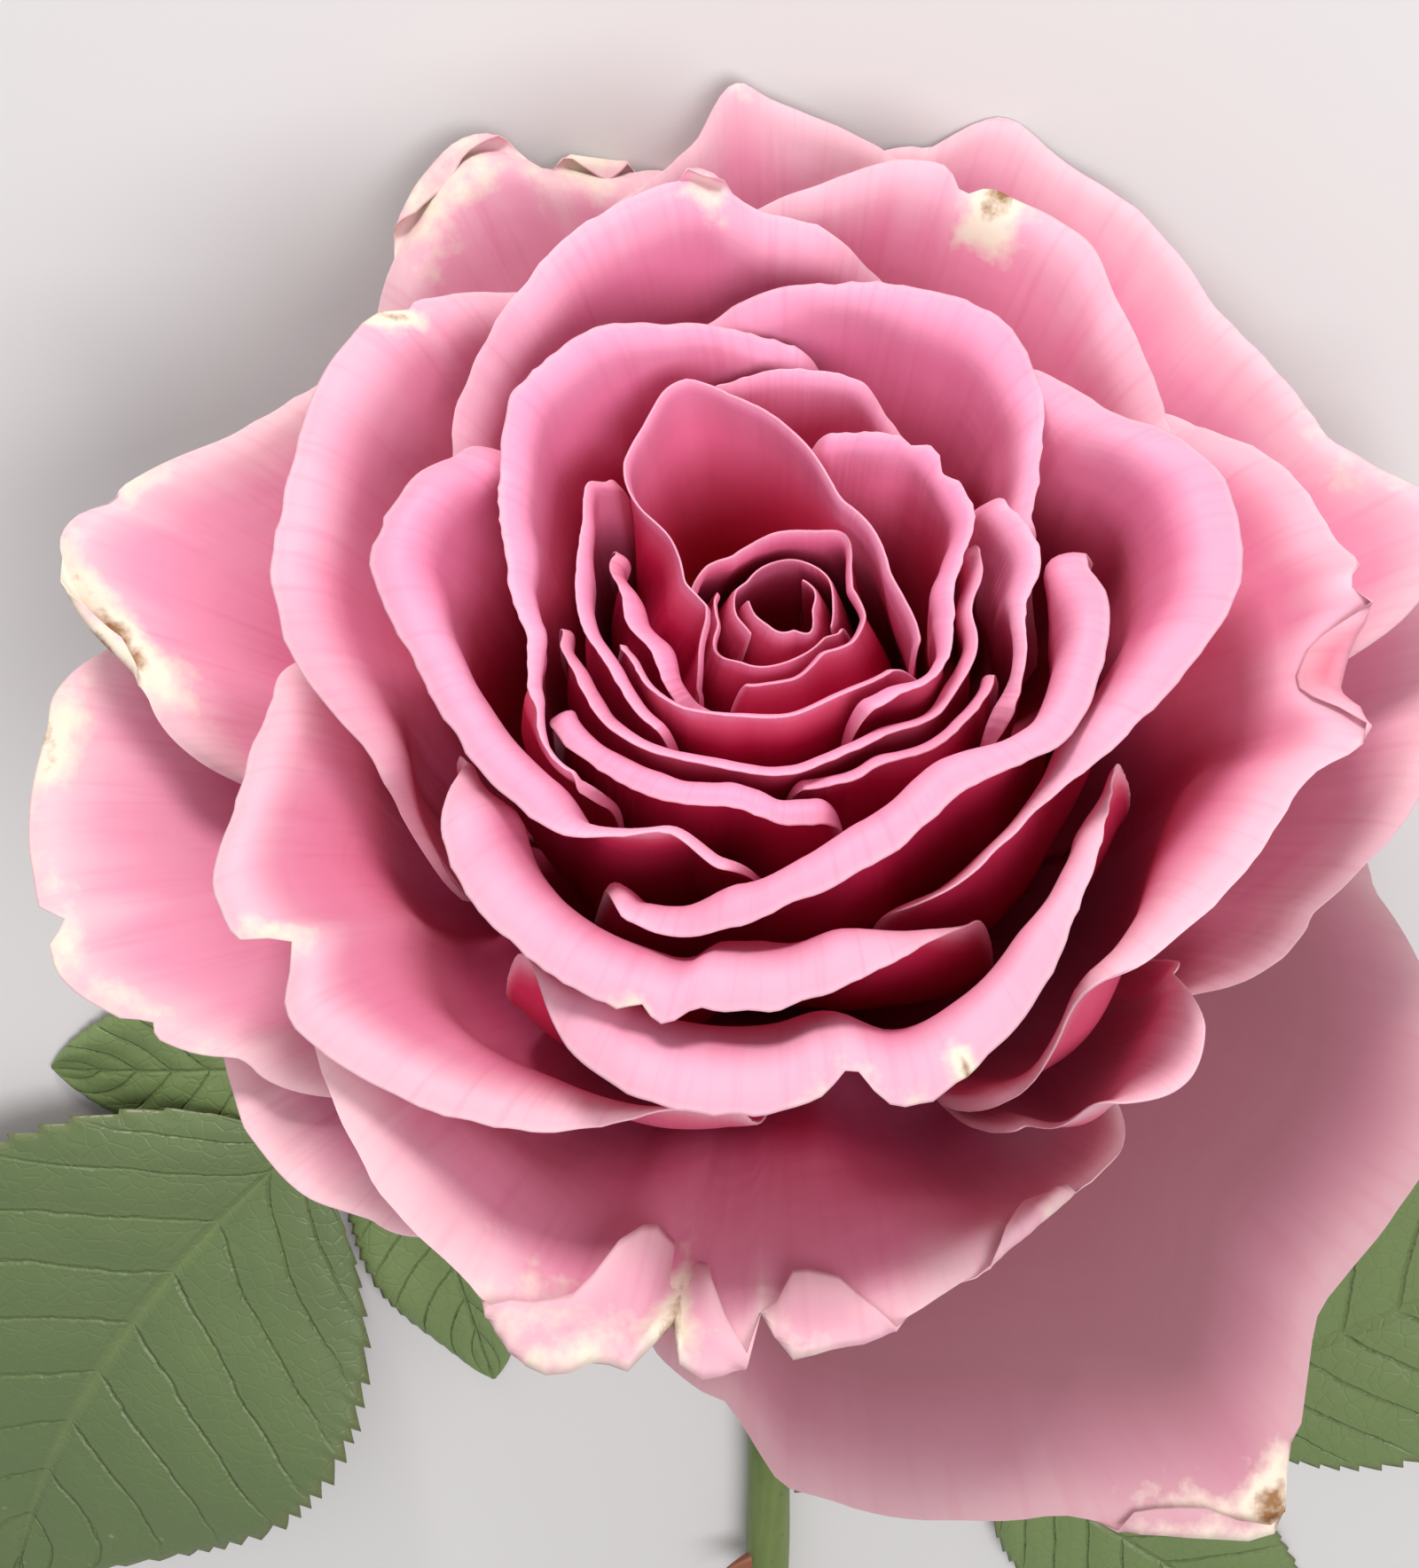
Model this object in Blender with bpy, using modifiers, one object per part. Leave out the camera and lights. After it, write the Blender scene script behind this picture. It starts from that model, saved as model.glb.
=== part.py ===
"""A cut garden rose lying on its side: one open many-petalled bloom on a bent neck,
a length of prickly stem and two leaves.  Lengths are millimetres until the last step."""
import bpy
import bmesh
import numpy as np
from math import cos, pi, radians, sin
from mathutils import Matrix, Vector

MM = 0.001

# ---- how the flower lies ------------------------------------------------------------------------
# The bloom faces along its own +Z; bearings run round that axis.  It lies on the rims of its
# petals at DOWN_BEARING, facing up from the table by FACE_UP degrees, and the neck bends until
# the stem lies along the table toward +Y.
FACE_UP = 37.0
DOWN_BEARING = 81.0
CLAWS_ABOVE_TABLE = 27.5
MIDDLE_OF_FOOTPRINT = (1.58, 44.28, -0.04)

# ---- stem, hip and prickles ---------------------------------------------------------------------
HIP = ((0.0, 2.5), (1.2, 1.95), (5.5, -1.85), (9.3, -5.15), (9.6, -6.2), (8.6, -8.2), (8.0, -11.0),
       (7.4, -15.0), (5.6, -19.0), (3.4, -22.0), (2.4, -24.5), (0.0, -24.5))
STEM_RADIUS = 2.7
NECK_RADIUS = 2.2
STEM_PATH = ((0.0, 12.0, 18.5), (0.0, 17.6, 14.3), (0.0, 24.0, 9.9), (-0.4, 31.5, 6.2),
             (-1.2, 40.0, 3.9), (-2.2, 49.0, 2.9), (-4.0, 66.0, 2.7), (-6.0, 90.0, 2.75),
             (-8.6, 118.0, 2.75), (-11.5, 150.0, 2.75))
# how far along the straight stem, degrees round it from the top, length
PRICKLES = ((58, 70, 4.0), (72, -60, 4.5), (88, 40, 3.5), (104, -75, 5.0), (121, 60, 5.0), (137, -35, 4.0))

# ---- sepals -------------------------------------------------------------------------------------
SEPAL_LENGTH = 22.0
SEPAL_HALF_WIDTH = 4.0
SEPAL_THICKNESS = 0.6
SEPAL_START = (10.4, -6.6)        # radius and height on the hip
SEPAL_LEAN = (150.0, 186.0)       # degrees from upright at its base and at its tip
FIRST_SEPAL = 45.0

# ---- leaves -------------------------------------------------------------------------------------
LEAF_THICKNESS = 0.5
LEAF_DROOP = 1.5
# name, rachis as points above the table, then leaflets: name, base, heading at the base, how far
# the heading turns toward the tip, length, half width, arch, fold up along the midrib
LEAVES = (
    ("leaf_1", ((2.1, 36.3, 5.0), (14.0, 38.5, 4.2), (30.0, 46.0, 3.0), (41.0, 57.0, 3.0), (49.4, 68.6, 3.4)),
     (("terminal", (50.1, 69.6, 3.4), 50.0, 32.0, 84.0, 30.0, 3.5, 0.10),
      ("left", (39.6, 58.0, 1.8), 105.0, 4.0, 46.0, 11.0, 0.6, 0.04),
      ("right", (43.0, 57.2, 1.8), 18.0, -8.0, 38.0, 11.5, 0.6, 0.04))),
    ("leaf_2", ((-10.8, 108.0, 3.4), (-22.0, 105.0, 3.0), (-32.0, 100.0, 2.8), (-42.0, 93.0, 3.1),
                (-50.0, 86.2, 3.4)),
     (("terminal", (-50.6, 85.7, 3.4), 218.0, 0.0, 60.0, 20.0, 3.5, 0.10),
      ("left", (-31.4, 98.6, 1.8), 290.0, 0.0, 34.0, 11.0, 0.6, 0.04),
      ("right", (-34.0, 100.6, 1.8), 150.0, 0.0, 48.0, 14.0, 0.6, 0.04))),
)
RACHIS_RADII = (1.3, 1.1, 0.9, 0.8, 0.7)

# ---- stamens ------------------------------------------------------------------------------------
STAMEN_COUNT = 9
STAMEN_HEIGHT = 9.5
STAMEN_SPREAD = 3.4

# ---- petals -------------------------------------------------------------------------------------
PETAL_THICKNESS = 0.26
PETAL_GAP = 0.84                  # between the middles of two petals that lie on each other
# Some petals stand further off the ones inside them, because they curl or fold there.
LOOSER_PETALS = {
    "heart_petal_4": 0.33, "middle_petal_1": 0.16, "middle_petal_2": 0.08, "middle_petal_6": 0.32,
    "middle_petal_9": 0.58, "outer_petal_1": 1.13, "outer_petal_2": 0.55}
CLAW_START = 0.8                  # how far above the receptacle a petal begins
CLAW_SHARE = 0.62                 # width of the claw against the blade, as an angle
FULL_LENGTH = 75.0                # length over which the family of profiles is drawn
COLUMNS = 60                      # doubled for petals that reach further round than WIDE_WRAP
WIDE_WRAP = 150
ROWS = 48
COLUMN_STEP = 5                   # a petal's solid keeps every fifth column and these rows
ROW_PICKS = (0, 8, 16, 24, 32, 38, 43, 48)

# A petal's profile leans out from upright by an angle that changes along its length.  These are
# its lean at the claw, half way and at the rim, for a closed petal and for a wide open one, and
# the radius and height at which the claw stands on the receptacle.
CLOSED = (36.0, -50.0, 8.0, 1.5, 2.0)
OPEN = (92.0, 80.0, 100.0, 9.5, -5.0)

# name, roll width, roll angle, hidden flap before and after (degrees), then the rim: bearing
# (degrees), length of the petal there, openness (0 closed, 100 wide open), share of the roll (1)
PETALS = (
    ("heart_petal_1", 0, 0, 12, 14,
     ((165, 43, 0), (185, 42, -1.5), (226, 42, -2.5), (294, 42, -2.5), (324, 42, -1), (356, 43, -1),
      (402, 43, 0), (420, 43, 0))),
    ("heart_petal_2", 0, 0, 12, 14,
     ((-15, 42, 1), (10, 43, 1.5), (44, 43, 2.5), (74, 43, 2.5), (108, 43, 2), (135, 43, 1.5),
      (152, 43, 1), (170, 42, 0), (205, 41, -1))),
    ("heart_petal_3", 1, 40, 10, 14,
     ((160, 42, 2), (185, 42, 3), (209, 42, 5), (234, 43, 4), (270, 43, 2.5), (315, 43, 1.5),
      (340, 43, 2))),
    ("heart_petal_4", 2, 40, 12, 10,
     ((-114, 44, 7), (-86, 44, 5), (-52, 45, 3.5), (-23, 45, 3.5), (9, 45, 4), (29, 45, 5),
      (50, 46, 7.5), (67, 46, 6), (97, 46, 5), (124, 45, 4.5), (153, 45, 3.5), (168, 44, 4))),
    ("inner_petal_1", 2, 30, 10, 8,
     ((-21, 48, 13), (9, 50, 9), (54, 50, 9), (80, 50, 14), (102, 50, 22), (114, 51, 26),
      (128, 50, 23), (141, 50, 20), (149, 50, 16), (154, 50, 12), (160, 49, 9), (170, 48, 7),
      (195, 47, 6), (213, 44, 8), (219, 41, 9))),
    ("inner_petal_2", 5, 60, 8, 14,
     ((157, 44, 12), (164, 45, 14), (174, 46, 15), (184, 46, 15), (200, 46, 13), (218, 45, 12),
      (232, 42, 11))),
    ("inner_petal_3", 2, 40, 12, 14,
     ((197, 47, 16), (210, 48, 15), (225, 48, 14), (246, 48, 13), (270, 48, 12), (294, 48, 11),
      (324, 47, 12))),
    ("inner_petal_4", 4, 60, 14, 14,
     ((-56, 50, 14), (-17, 51, 14), (10, 51, 17), (27, 51, 20), (46, 52, 20), (58, 52, 18),
      (73, 50, 17))),
    ("inner_petal_5", 3, 50, 10, 12,
     ((141, 47, 20), (147, 49, 22), (158, 49, 21), (185, 49, 20), (206, 49, 18), (226, 48, 18))),
    ("inner_petal_6", 3, 50, 8, 10,
     ((185, 46, 21), (192, 47, 22), (212, 48, 22), (225, 49, 21), (245, 49, 19), (275, 49, 18),
      (297, 49, 16), (325, 49, 16), (353, 49, 17), (366, 49, 19), (376, 48, 20))),
    ("inner_petal_7", 3, 50, 10, 10,
     ((276, 48, 19), (285, 49, 19), (300, 49, 18), (322, 49, 18), (338, 48, 19))),
    ("inner_petal_8", 3, 50, 14, 14,
     ((51, 44, 23), (64, 47, 25), (74, 50, 26), (86, 50, 26), (103, 48, 27))),
    ("middle_petal_1", 4, 90, 8, 10,
     ((208, 48, 25), (226, 49, 23), (244, 50, 22), (261, 50, 21), (277, 50, 21))),
    ("middle_petal_2", 5, 70, 14, 10,
     ((88, 50, 28), (99, 52, 29), (111, 54, 31), (126, 56, 33), (140, 56, 33), (156, 54, 30),
      (176, 54, 26), (200, 54, 23), (222, 53, 23, 0.6))),
    ("middle_petal_3", 4, 60, 14, 14,
     ((-27, 52, 21), (-13, 54, 21), (6, 54, 24), (22, 52, 23))),
    ("middle_petal_4", 6, 70, 14, 14,
     ((21, 50, 23), (33, 53, 29), (42, 54, 34), (56, 56, 36), (72, 56, 34), (84, 55, 32), (94, 53, 32),
      (104, 50, 32))),
    ("middle_petal_5", 8, 90, 14, 10,
     ((154, 54, 31), (163, 57, 34), (175, 58, 38), (184, 58, 36), (197, 58, 32), (222, 57, 29),
      (232, 56, 28, 0.6), (244, 55, 27, 0.3), (257, 53, 29, 0.3))),
    ("middle_petal_6", 7, 90, 12, 14,
     ((-115, 54, 35, 0.4), (-107, 55, 33, 0.7), (-99, 56, 31), (-75, 57, 29), (-50, 57, 26),
      (-30, 57, 27), (-12, 57, 26), (4, 54, 23))),
    ("middle_petal_7", 8, 80, 10, 14,
     ((-69, 51, 34, 0.1), (-65, 53, 34, 0.1), (-52, 55, 32, 0.2), (-39, 56, 31, 0.4),
      (-28, 58, 32, 0.8), (-12, 60, 36), (2, 60, 41), (14, 60, 42), (22, 59, 40), (32, 56, 36),
      (44, 53, 35))),
    ("middle_petal_8", 6, 60, 14, 14,
     ((74, 51, 43), (84, 56, 42), (92, 57, 43), (103, 61, 44), (113, 60, 44), (130, 57, 42),
      (143, 53, 42), (152, 50, 40))),
    ("middle_petal_9", 9, 80, 9, 8,
     ((205, 49, 33, 0.1), (212, 56, 35, 0.4), (221, 60, 38), (230, 60, 40), (248, 60, 41),
      (255, 61, 41), (260, 59, 39), (268, 60, 39), (276, 60, 38), (284, 59, 37, 0.7),
      (292, 55, 36, 0.3), (299, 50, 36, 0.1))),
    ("outer_petal_1", 8, 80, 6, 6,
     ((234, 52, 43, 0.1), (240, 57, 44, 0.5), (248, 60, 45), (256, 62, 46), (268, 62, 47),
      (275, 61, 46), (283, 62, 48), (293, 61, 46), (303, 59, 43), (312, 57, 40, 0.7),
      (322, 55, 38, 0.4), (334, 51, 36, 0.1))),
    ("outer_petal_2", 7, 60, 16, 14,
     ((122, 53, 51), (139, 60, 52), (147, 61, 51), (163, 59, 50), (178, 58, 49), (188, 54, 48),
      (196, 50, 46))),
    ("outer_petal_3", 5, 50, 14, 16,
     ((34, 51, 53), (46, 56, 52), (56, 60, 53), (67, 60, 53), (73, 61, 52), (86, 57, 52),
      (95, 54, 52))),
    ("outer_petal_4", 6, 50, 6, 14,
     ((-62, 44, 43), (-56, 52, 45), (-50, 58, 47), (-41, 59, 48), (-29, 60, 49), (-18, 60, 51),
      (-12, 62, 54), (-7, 59, 53), (-2, 60, 53), (4, 64, 53), (9, 61, 54), (22, 57, 56),
      (33, 51, 57))),
    ("outer_petal_5", 2, 30, 5, 7,
     ((299, 45, 50), (302, 53, 54), (305, 57, 58), (311, 58, 60), (316, 57, 58), (320, 50, 55))),
    ("outer_petal_6", 6, 60, 14, 6,
     ((184, 52, 57), (196, 57, 58), (206, 61, 60), (210, 61, 60), (214, 58, 59), (219, 61, 60),
      (230, 60, 59), (240, 59, 57), (248, 57, 55, 0.7), (255, 53, 53, 0.3), (263, 48, 51, 0.1))),
    ("outer_petal_7", 3, 30, 18, 16,
     ((76, 58, 61), (84, 61, 62), (90, 63, 62), (94, 65, 62), (98, 60, 62), (105, 56, 62))),
    ("outer_petal_8", 3, 30, 14, 18,
     ((14, 66, 66), (27, 59, 65), (40, 59, 64), (53, 62, 64), (63, 63, 64), (69, 65, 64),
      (75, 60, 64))),
    ("outer_petal_9", 3, 30, 18, 14,
     ((-22, 50, 72), (-8, 57, 74), (8, 62, 76), (20, 61, 76))),
    ("guard_petal_1", 6, 70, 18, 18,
     ((105, 57, 69), (110, 59, 69), (118, 64, 69), (128, 59, 69), (134, 55, 69))),
    ("guard_petal_2", 4, 40, 14, 14,
     ((143, 55, 71), (152, 58, 72), (162, 65, 72), (167, 68, 72), (172, 64, 72), (178, 58, 70))),
    ("guard_petal_3", 5, 40, 16, 16,
     ((220, 58, 62), (236, 62, 67), (244, 61, 71), (252, 65, 72), (256, 63, 71), (260, 64, 71),
      (268, 62, 70), (282, 59, 69), (292, 54, 68), (300, 50, 66))),
    ("guard_petal_4", 4, 30, 14, 14,
     ((179, 64, 80), (190, 66, 79), (200, 66, 79), (206, 62, 79), (211, 58, 78), (214, 55, 76))),
    ("guard_petal_5", 2, 20, 14, 14,
     ((211, 54, 82), (218, 56, 82), (226, 57, 80), (232, 55, 79))),
    ("guard_petal_6", 4, 30, 16, 16,
     ((266, 50, 95), (276, 56, 96), (287, 63, 97), (296, 69, 98), (303, 74, 98), (308, 69, 98),
      (316, 62, 97), (328, 62, 97), (343, 56, 98), (352, 49, 98))),
)


def running_sum(values, step):
    """Integral along the last axis, starting from nought."""
    total = np.zeros_like(values)
    total[..., 1:] = np.cumsum((values[..., 1:] + values[..., :-1]) / 2, axis=-1) * step
    return total


OPENNESS_STEP = 0.01
LENGTH_STEP = 0.5
OPENNESS = np.arange(-0.30, 1.801, OPENNESS_STEP)
LENGTH = np.arange(0.0, 100.01, LENGTH_STEP)


def family():
    """Radius and height of every profile: rows by openness, columns by length."""
    claw, middle, rim, radius, height = (
        a + (b - a) * OPENNESS[:, None] for a, b in zip(CLOSED, OPEN))
    t = LENGTH[None, :] / FULL_LENGTH
    lean = np.radians(claw * (1 - t) ** 2 + 2 * middle * t * (1 - t) + rim * t ** 2)
    radii = radius + running_sum(np.sin(lean), LENGTH_STEP)
    return np.maximum(radii, 0.5), height + running_sum(np.cos(lean), LENGTH_STEP)


RADIUS, HEIGHT = family()


def profile(openness, length):
    """Radius and height of a point on the family of profiles."""
    i = np.clip((openness - OPENNESS[0]) / OPENNESS_STEP, 0, len(OPENNESS) - 1.001)
    j = np.clip(length / LENGTH_STEP, 0, len(LENGTH) - 1.001)
    i0 = i.astype(int)
    j0 = j.astype(int)
    a = i - i0
    b = j - j0
    out = []
    for table in (RADIUS, HEIGHT):
        near = table[i0, j0] * (1 - b) + table[i0, j0 + 1] * b
        far = table[i0 + 1, j0] * (1 - b) + table[i0 + 1, j0 + 1] * b
        out.append(near * (1 - a) + far * a)
    return out


def spread(openness, length):
    """How far apart two profiles stand, square to them, for one unit of openness."""
    r1, z1 = profile(openness - 0.01, length)
    r2, z2 = profile(openness + 0.01, length)
    ra, za = profile(openness, np.maximum(length - 1, 0))
    rb, zb = profile(openness, length + 1)
    run = np.hypot(rb - ra, zb - za) + 1e-9
    across = ((r2 - r1) * (zb - za) - (z2 - z1) * (rb - ra)) / run
    return np.maximum(across / 0.02, 3.0)


def through(x, xs, ys):
    """Smooth curve through the given points that does not overshoot them."""
    xs = np.asarray(xs, float)
    ys = np.asarray(ys, float)
    width = np.diff(xs)
    slope = np.diff(ys) / width
    tangent = np.concatenate((slope[:1], (slope[1:] + slope[:-1]) / 2, slope[-1:]))
    turns = np.concatenate(((False,), slope[1:] * slope[:-1] <= 0, (False,)))
    tangent[turns] = 0
    limit = 3 * np.minimum(np.abs(np.append(slope, slope[-1])), np.abs(np.append(slope[0], slope)))
    tangent = np.clip(tangent, -limit, limit)
    x = np.clip(x, xs[0], xs[-1])
    k = np.clip(np.searchsorted(xs, x, side="right") - 1, 0, len(xs) - 2)
    h = width[k]
    t = (x - xs[k]) / h
    return ((1 + 2 * t) * (1 - t) ** 2 * ys[k] + t * (1 - t) ** 2 * h * tangent[k]
            + t * t * (3 - 2 * t) * ys[k + 1] + t * t * (t - 1) * h * tangent[k + 1])


def ease(x):
    x = np.clip(x, 0, 1)
    return x * x * (3 - 2 * x)


def widen(field):
    """Raise every value to the highest one nearby, then soften the result."""
    for axis, reach, merge in ((0, 4, np.max), (1, 4, np.max), (0, 3, np.mean), (1, 3, np.mean)):
        padded = np.pad(field, [(reach, reach) if a == axis else (0, 0) for a in (0, 1)], mode="edge")
        count = field.shape[axis]
        shifted = [np.take(padded, range(k, k + count), axis) for k in range(2 * reach + 1)]
        field = merge(shifted, axis=0)
    return field


def widen_along(field, length):
    """Widen a field given on a petal's grid, comparing places that are equally far up the petal."""
    marks = np.arange(FULL_LENGTH)
    level = np.stack([np.interp(marks, s, f, right=0) for s, f in zip(length, field)])
    return np.stack([np.interp(s, marks, f) for s, f in zip(length, widen(level))])


class Bloom:
    """Lays petals one outside the other and remembers how far out the bloom has grown."""

    def __init__(self):
        self.cover = np.full((360, 101), -9.0)

    def column_paths(self, start, bend_from, path, roll, angle):
        """Walk up every column: straight along its profile, then rolling outward near the rim."""
        rows = ROWS + 1
        share = 1 - (1 - np.linspace(0, 1, rows)) ** 1.4
        along = CLAW_START + share[None, :] * (path - CLAW_START)[:, None]
        rolled = (along - bend_from[:, None]) / np.maximum(roll, 0.5)[:, None]
        turn = np.radians(angle)[:, None] * ease(rolled)
        openness = np.zeros_like(along)
        length = np.zeros_like(along)
        openness[:, 0] = start
        length[:, 0] = CLAW_START
        for k in range(1, rows):
            step = along[:, k] - along[:, k - 1]
            mean = (turn[:, k] + turn[:, k - 1]) / 2
            length[:, k] = length[:, k - 1] + np.cos(mean) * step
            rise = np.sin(mean) * step / spread(openness[:, k - 1], length[:, k - 1])
            openness[:, k] = openness[:, k - 1] + rise
        return openness, length

    def petal(self, roll_width, roll_angle, before, after, rim, gap):
        """Bearing, length and openness on a grid of columns by rows."""
        bearings = [p[0] for p in rim]
        first = bearings[0] - before
        last = bearings[-1] + after
        columns = COLUMNS * 2 if last - first > WIDE_WRAP else COLUMNS
        u = np.linspace(0, 1, columns + 1)
        u = 0.45 * u + 0.55 * (0.5 - 0.5 * np.cos(pi * u))
        bearing = first + (last - first) * u
        reach = through(bearing, bearings, [p[1] for p in rim])
        open_to = through(bearing, bearings, [p[2] / 100 for p in rim])
        share = through(bearing, bearings, [p[3] if len(p) > 3 else 1 for p in rim])
        edge = np.minimum((bearing - first) / before, (last - bearing) / after)
        edge = 0.42 + 0.58 * np.sqrt(np.maximum(1 - (1 - np.clip(edge, 0, 1)) ** 2, 0))
        reach = reach * edge
        roll = roll_width * share * edge ** 2
        angle = roll_angle * edge * np.sqrt(share)
        t = np.linspace(0, 1, 33)[None, :]
        turn = np.radians(angle)[:, None] * ease(t)
        forward = np.mean(np.cos(turn), axis=1)
        outward = np.mean(np.sin(turn), axis=1)
        bend_from = reach - roll * forward
        start = open_to - roll * outward / spread(open_to, reach)
        openness, length = self.column_paths(start, bend_from, bend_from + roll, roll, angle)
        middle = (first + last) / 2
        claw = CLAW_SHARE + (1 - CLAW_SHARE) * ease(length / 24)
        around = middle + (bearing - middle)[:, None] * claw
        for _ in range(3):
            near = self.nearest(around, length)
            short = near + gap / spread(openness, length) - openness
            if short.max() <= 1e-4:
                break
            openness = openness + widen_along(np.maximum(short, 0), length)
        self.remember(around, length, openness)
        return around, length, openness

    def nearest(self, around, length):
        i = np.round(around).astype(int) % 360
        j = np.clip(np.round(length).astype(int), 0, 100)
        return self.cover[i, j]

    def remember(self, around, length, openness):
        for part in (0, 0.25, 0.5, 0.75):
            i, j, top = (a[:-1] * (1 - part) + a[1:] * part for a in (around, length, openness))
            i = np.round(i).astype(int)
            j = np.round(j).astype(int)
            for di in (-1, 0, 1):
                for dj in (-1, 0, 1):
                    np.maximum.at(self.cover, ((i + di) % 360, np.clip(j + dj, 0, 100)), top)


def petal_points(around, length, openness):
    radius, height = profile(openness, length)
    angle = np.radians(around)
    return np.stack((radius * np.cos(angle), radius * np.sin(angle), height), axis=-1)


# ==== making the pieces ==========================================================================

def clear():
    for item in list(bpy.data.objects):
        bpy.data.objects.remove(item, do_unlink=True)


def collection(name):
    group = bpy.data.collections.new(name)
    bpy.context.scene.collection.children.link(group)
    return group


def material(name, colour, roughness):
    made = bpy.data.materials.new(name)
    made.use_nodes = True
    shader = made.node_tree.nodes["Principled BSDF"]
    shader.inputs["Base Color"].default_value = (*colour, 1)
    shader.inputs["Roughness"].default_value = roughness
    return made


def add(name, mesh, group, finish, parent=None):
    item = bpy.data.objects.new(name, mesh)
    mesh.materials.clear()
    mesh.materials.append(finish)
    group.objects.link(item)
    item.parent = parent
    return item


def sheet(name, points):
    """A primitive grid bent so that its crossings stand on the given points (millimetres)."""
    columns = points.shape[0] - 1
    rows = points.shape[1] - 1
    bm = bmesh.new()
    bmesh.ops.create_grid(bm, x_segments=columns, y_segments=rows, size=1)
    for vert in bm.verts:
        i = round((vert.co.x + 1) / 2 * columns)
        j = round((vert.co.y + 1) / 2 * rows)
        vert.co = points[i, j]
    mesh = bpy.data.meshes.new(name)
    bm.to_mesh(mesh)
    bm.free()
    return mesh


def add_skin(name, mesh, thickness, group, finish, parent):
    """A petal or leaf blade: the bent grid, made into an object and given its thickness."""
    mesh.transform(Matrix.Scale(MM, 4))
    item = add(name, mesh, group, finish, parent)
    shell = item.modifiers.new("thickness", "SOLIDIFY")
    shell.thickness = thickness * MM
    shell.offset = 0


def lathe(name, outline, group, steps):
    mesh = bpy.data.meshes.new(name)
    mesh.from_pydata([(r * MM, 0, z * MM) for r, z in outline],
                     [(k, k + 1) for k in range(len(outline) - 1)], [])
    item = bpy.data.objects.new(name, mesh)
    group.objects.link(item)
    turn = item.modifiers.new("turn", "SCREW")
    turn.axis = "Z"
    turn.steps = steps
    turn.render_steps = steps
    turn.use_merge_vertices = True
    turn.merge_threshold = 0.00001
    turn.use_normal_calculate = True
    return item


def tube(name, path, radii, group, sides):
    """A round stalk along a path, with closed ends."""
    curve = bpy.data.curves.new(name, "CURVE")
    curve.dimensions = "3D"
    curve.bevel_depth = MM
    curve.bevel_resolution = sides // 4
    curve.use_fill_caps = True
    line = curve.splines.new("POLY")
    line.points.add(len(path) - 1)
    for point, place, radius in zip(line.points, path, radii):
        point.co = (*(Vector(place) * MM), 1)
        point.radius = radius
    item = bpy.data.objects.new(name, curve)
    group.objects.link(item)
    return item


def solid_mesh(item, place):
    """Closed mesh of an object, in the frame it is asked for."""
    seen = item.evaluated_get(bpy.context.evaluated_depsgraph_get())
    mesh = bpy.data.meshes.new_from_object(seen)
    mesh.transform(place)
    bm = bmesh.new()
    bm.from_mesh(mesh)
    bmesh.ops.remove_doubles(bm, verts=bm.verts, dist=0.00001)
    bmesh.ops.recalc_face_normals(bm, faces=bm.faces)
    bm.to_mesh(mesh)
    bm.free()
    return mesh


def join_solids(name, meshes, scraps, group, finish, parent):
    """Union of several closed meshes as one object."""
    base = bpy.data.objects.new(name + "_first", meshes[0])
    scraps.objects.link(base)
    for k, mesh in enumerate(meshes[1:]):
        other = bpy.data.objects.new(f"{name}_part_{k}", mesh)
        other.hide_render = True
        other.display_type = "WIRE"
        scraps.objects.link(other)
        cut = base.modifiers.new("join", "BOOLEAN")
        cut.operation = "UNION"
        cut.solver = "EXACT"
        cut.object = other
    joined = solid_mesh(base, Matrix.Identity(4))
    return add(name, joined, group, finish, parent)


def bloom_frame():
    """Where the bloom's own axes stand above the table."""
    rise = radians(FACE_UP)
    down = radians(DOWN_BEARING)
    up = Vector((-cos(rise) * cos(down), -cos(rise) * sin(down), sin(rise)))
    along = (up * sin(rise) - Vector((0, 0, 1))) / cos(rise)
    across = along.cross(up)
    turn = Matrix((across, along, up)).to_4x4()
    return Matrix.Translation(Vector((0, 0, CLAWS_ABOVE_TABLE)) * MM) @ turn


def blade(length, half_width, bend, arch, lift, columns, rows):
    """A leaf blade from the origin toward +X: widest below its middle, its midrib curving aside."""
    t = np.linspace(0, 1, rows + 1)
    heading = np.radians(bend) * t
    midrib_x = running_sum(np.cos(heading), length / rows)
    midrib_y = running_sum(np.sin(heading), length / rows)
    wide = half_width * np.maximum(np.sin(pi * t ** 0.85), 0) ** 0.75
    wide = np.maximum(wide, 0.35 + 0.35 * (1 - t))
    side = wide * np.linspace(-1, 1, columns + 1)[:, None]
    x = midrib_x - side * np.sin(heading)
    y = midrib_y + side * np.cos(heading)
    z = arch * np.sin(pi * t) + lift * np.abs(side) - LEAF_DROOP * t
    return np.stack((x, y, z), axis=-1)


def set_down(points, base, heading):
    turn = radians(heading)
    x = base[0] + points[..., 0] * cos(turn) - points[..., 1] * sin(turn)
    y = base[1] + points[..., 0] * sin(turn) + points[..., 1] * cos(turn)
    return np.stack((x, y, base[2] + points[..., 2]), axis=-1)


def make_petals(group, parent):
    pink = material("petal_pink", (0.80, 0.26, 0.42), 0.6)
    bloom = Bloom()
    for name, roll_width, roll_angle, before, after, rim in PETALS:
        gap = PETAL_GAP + LOOSER_PETALS.get(name, 0)
        grid = bloom.petal(roll_width, roll_angle, before, after, rim, gap)
        points = petal_points(*grid)[::COLUMN_STEP][:, ROW_PICKS]
        add_skin(name, sheet(name, points), PETAL_THICKNESS, group, pink, parent)


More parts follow.
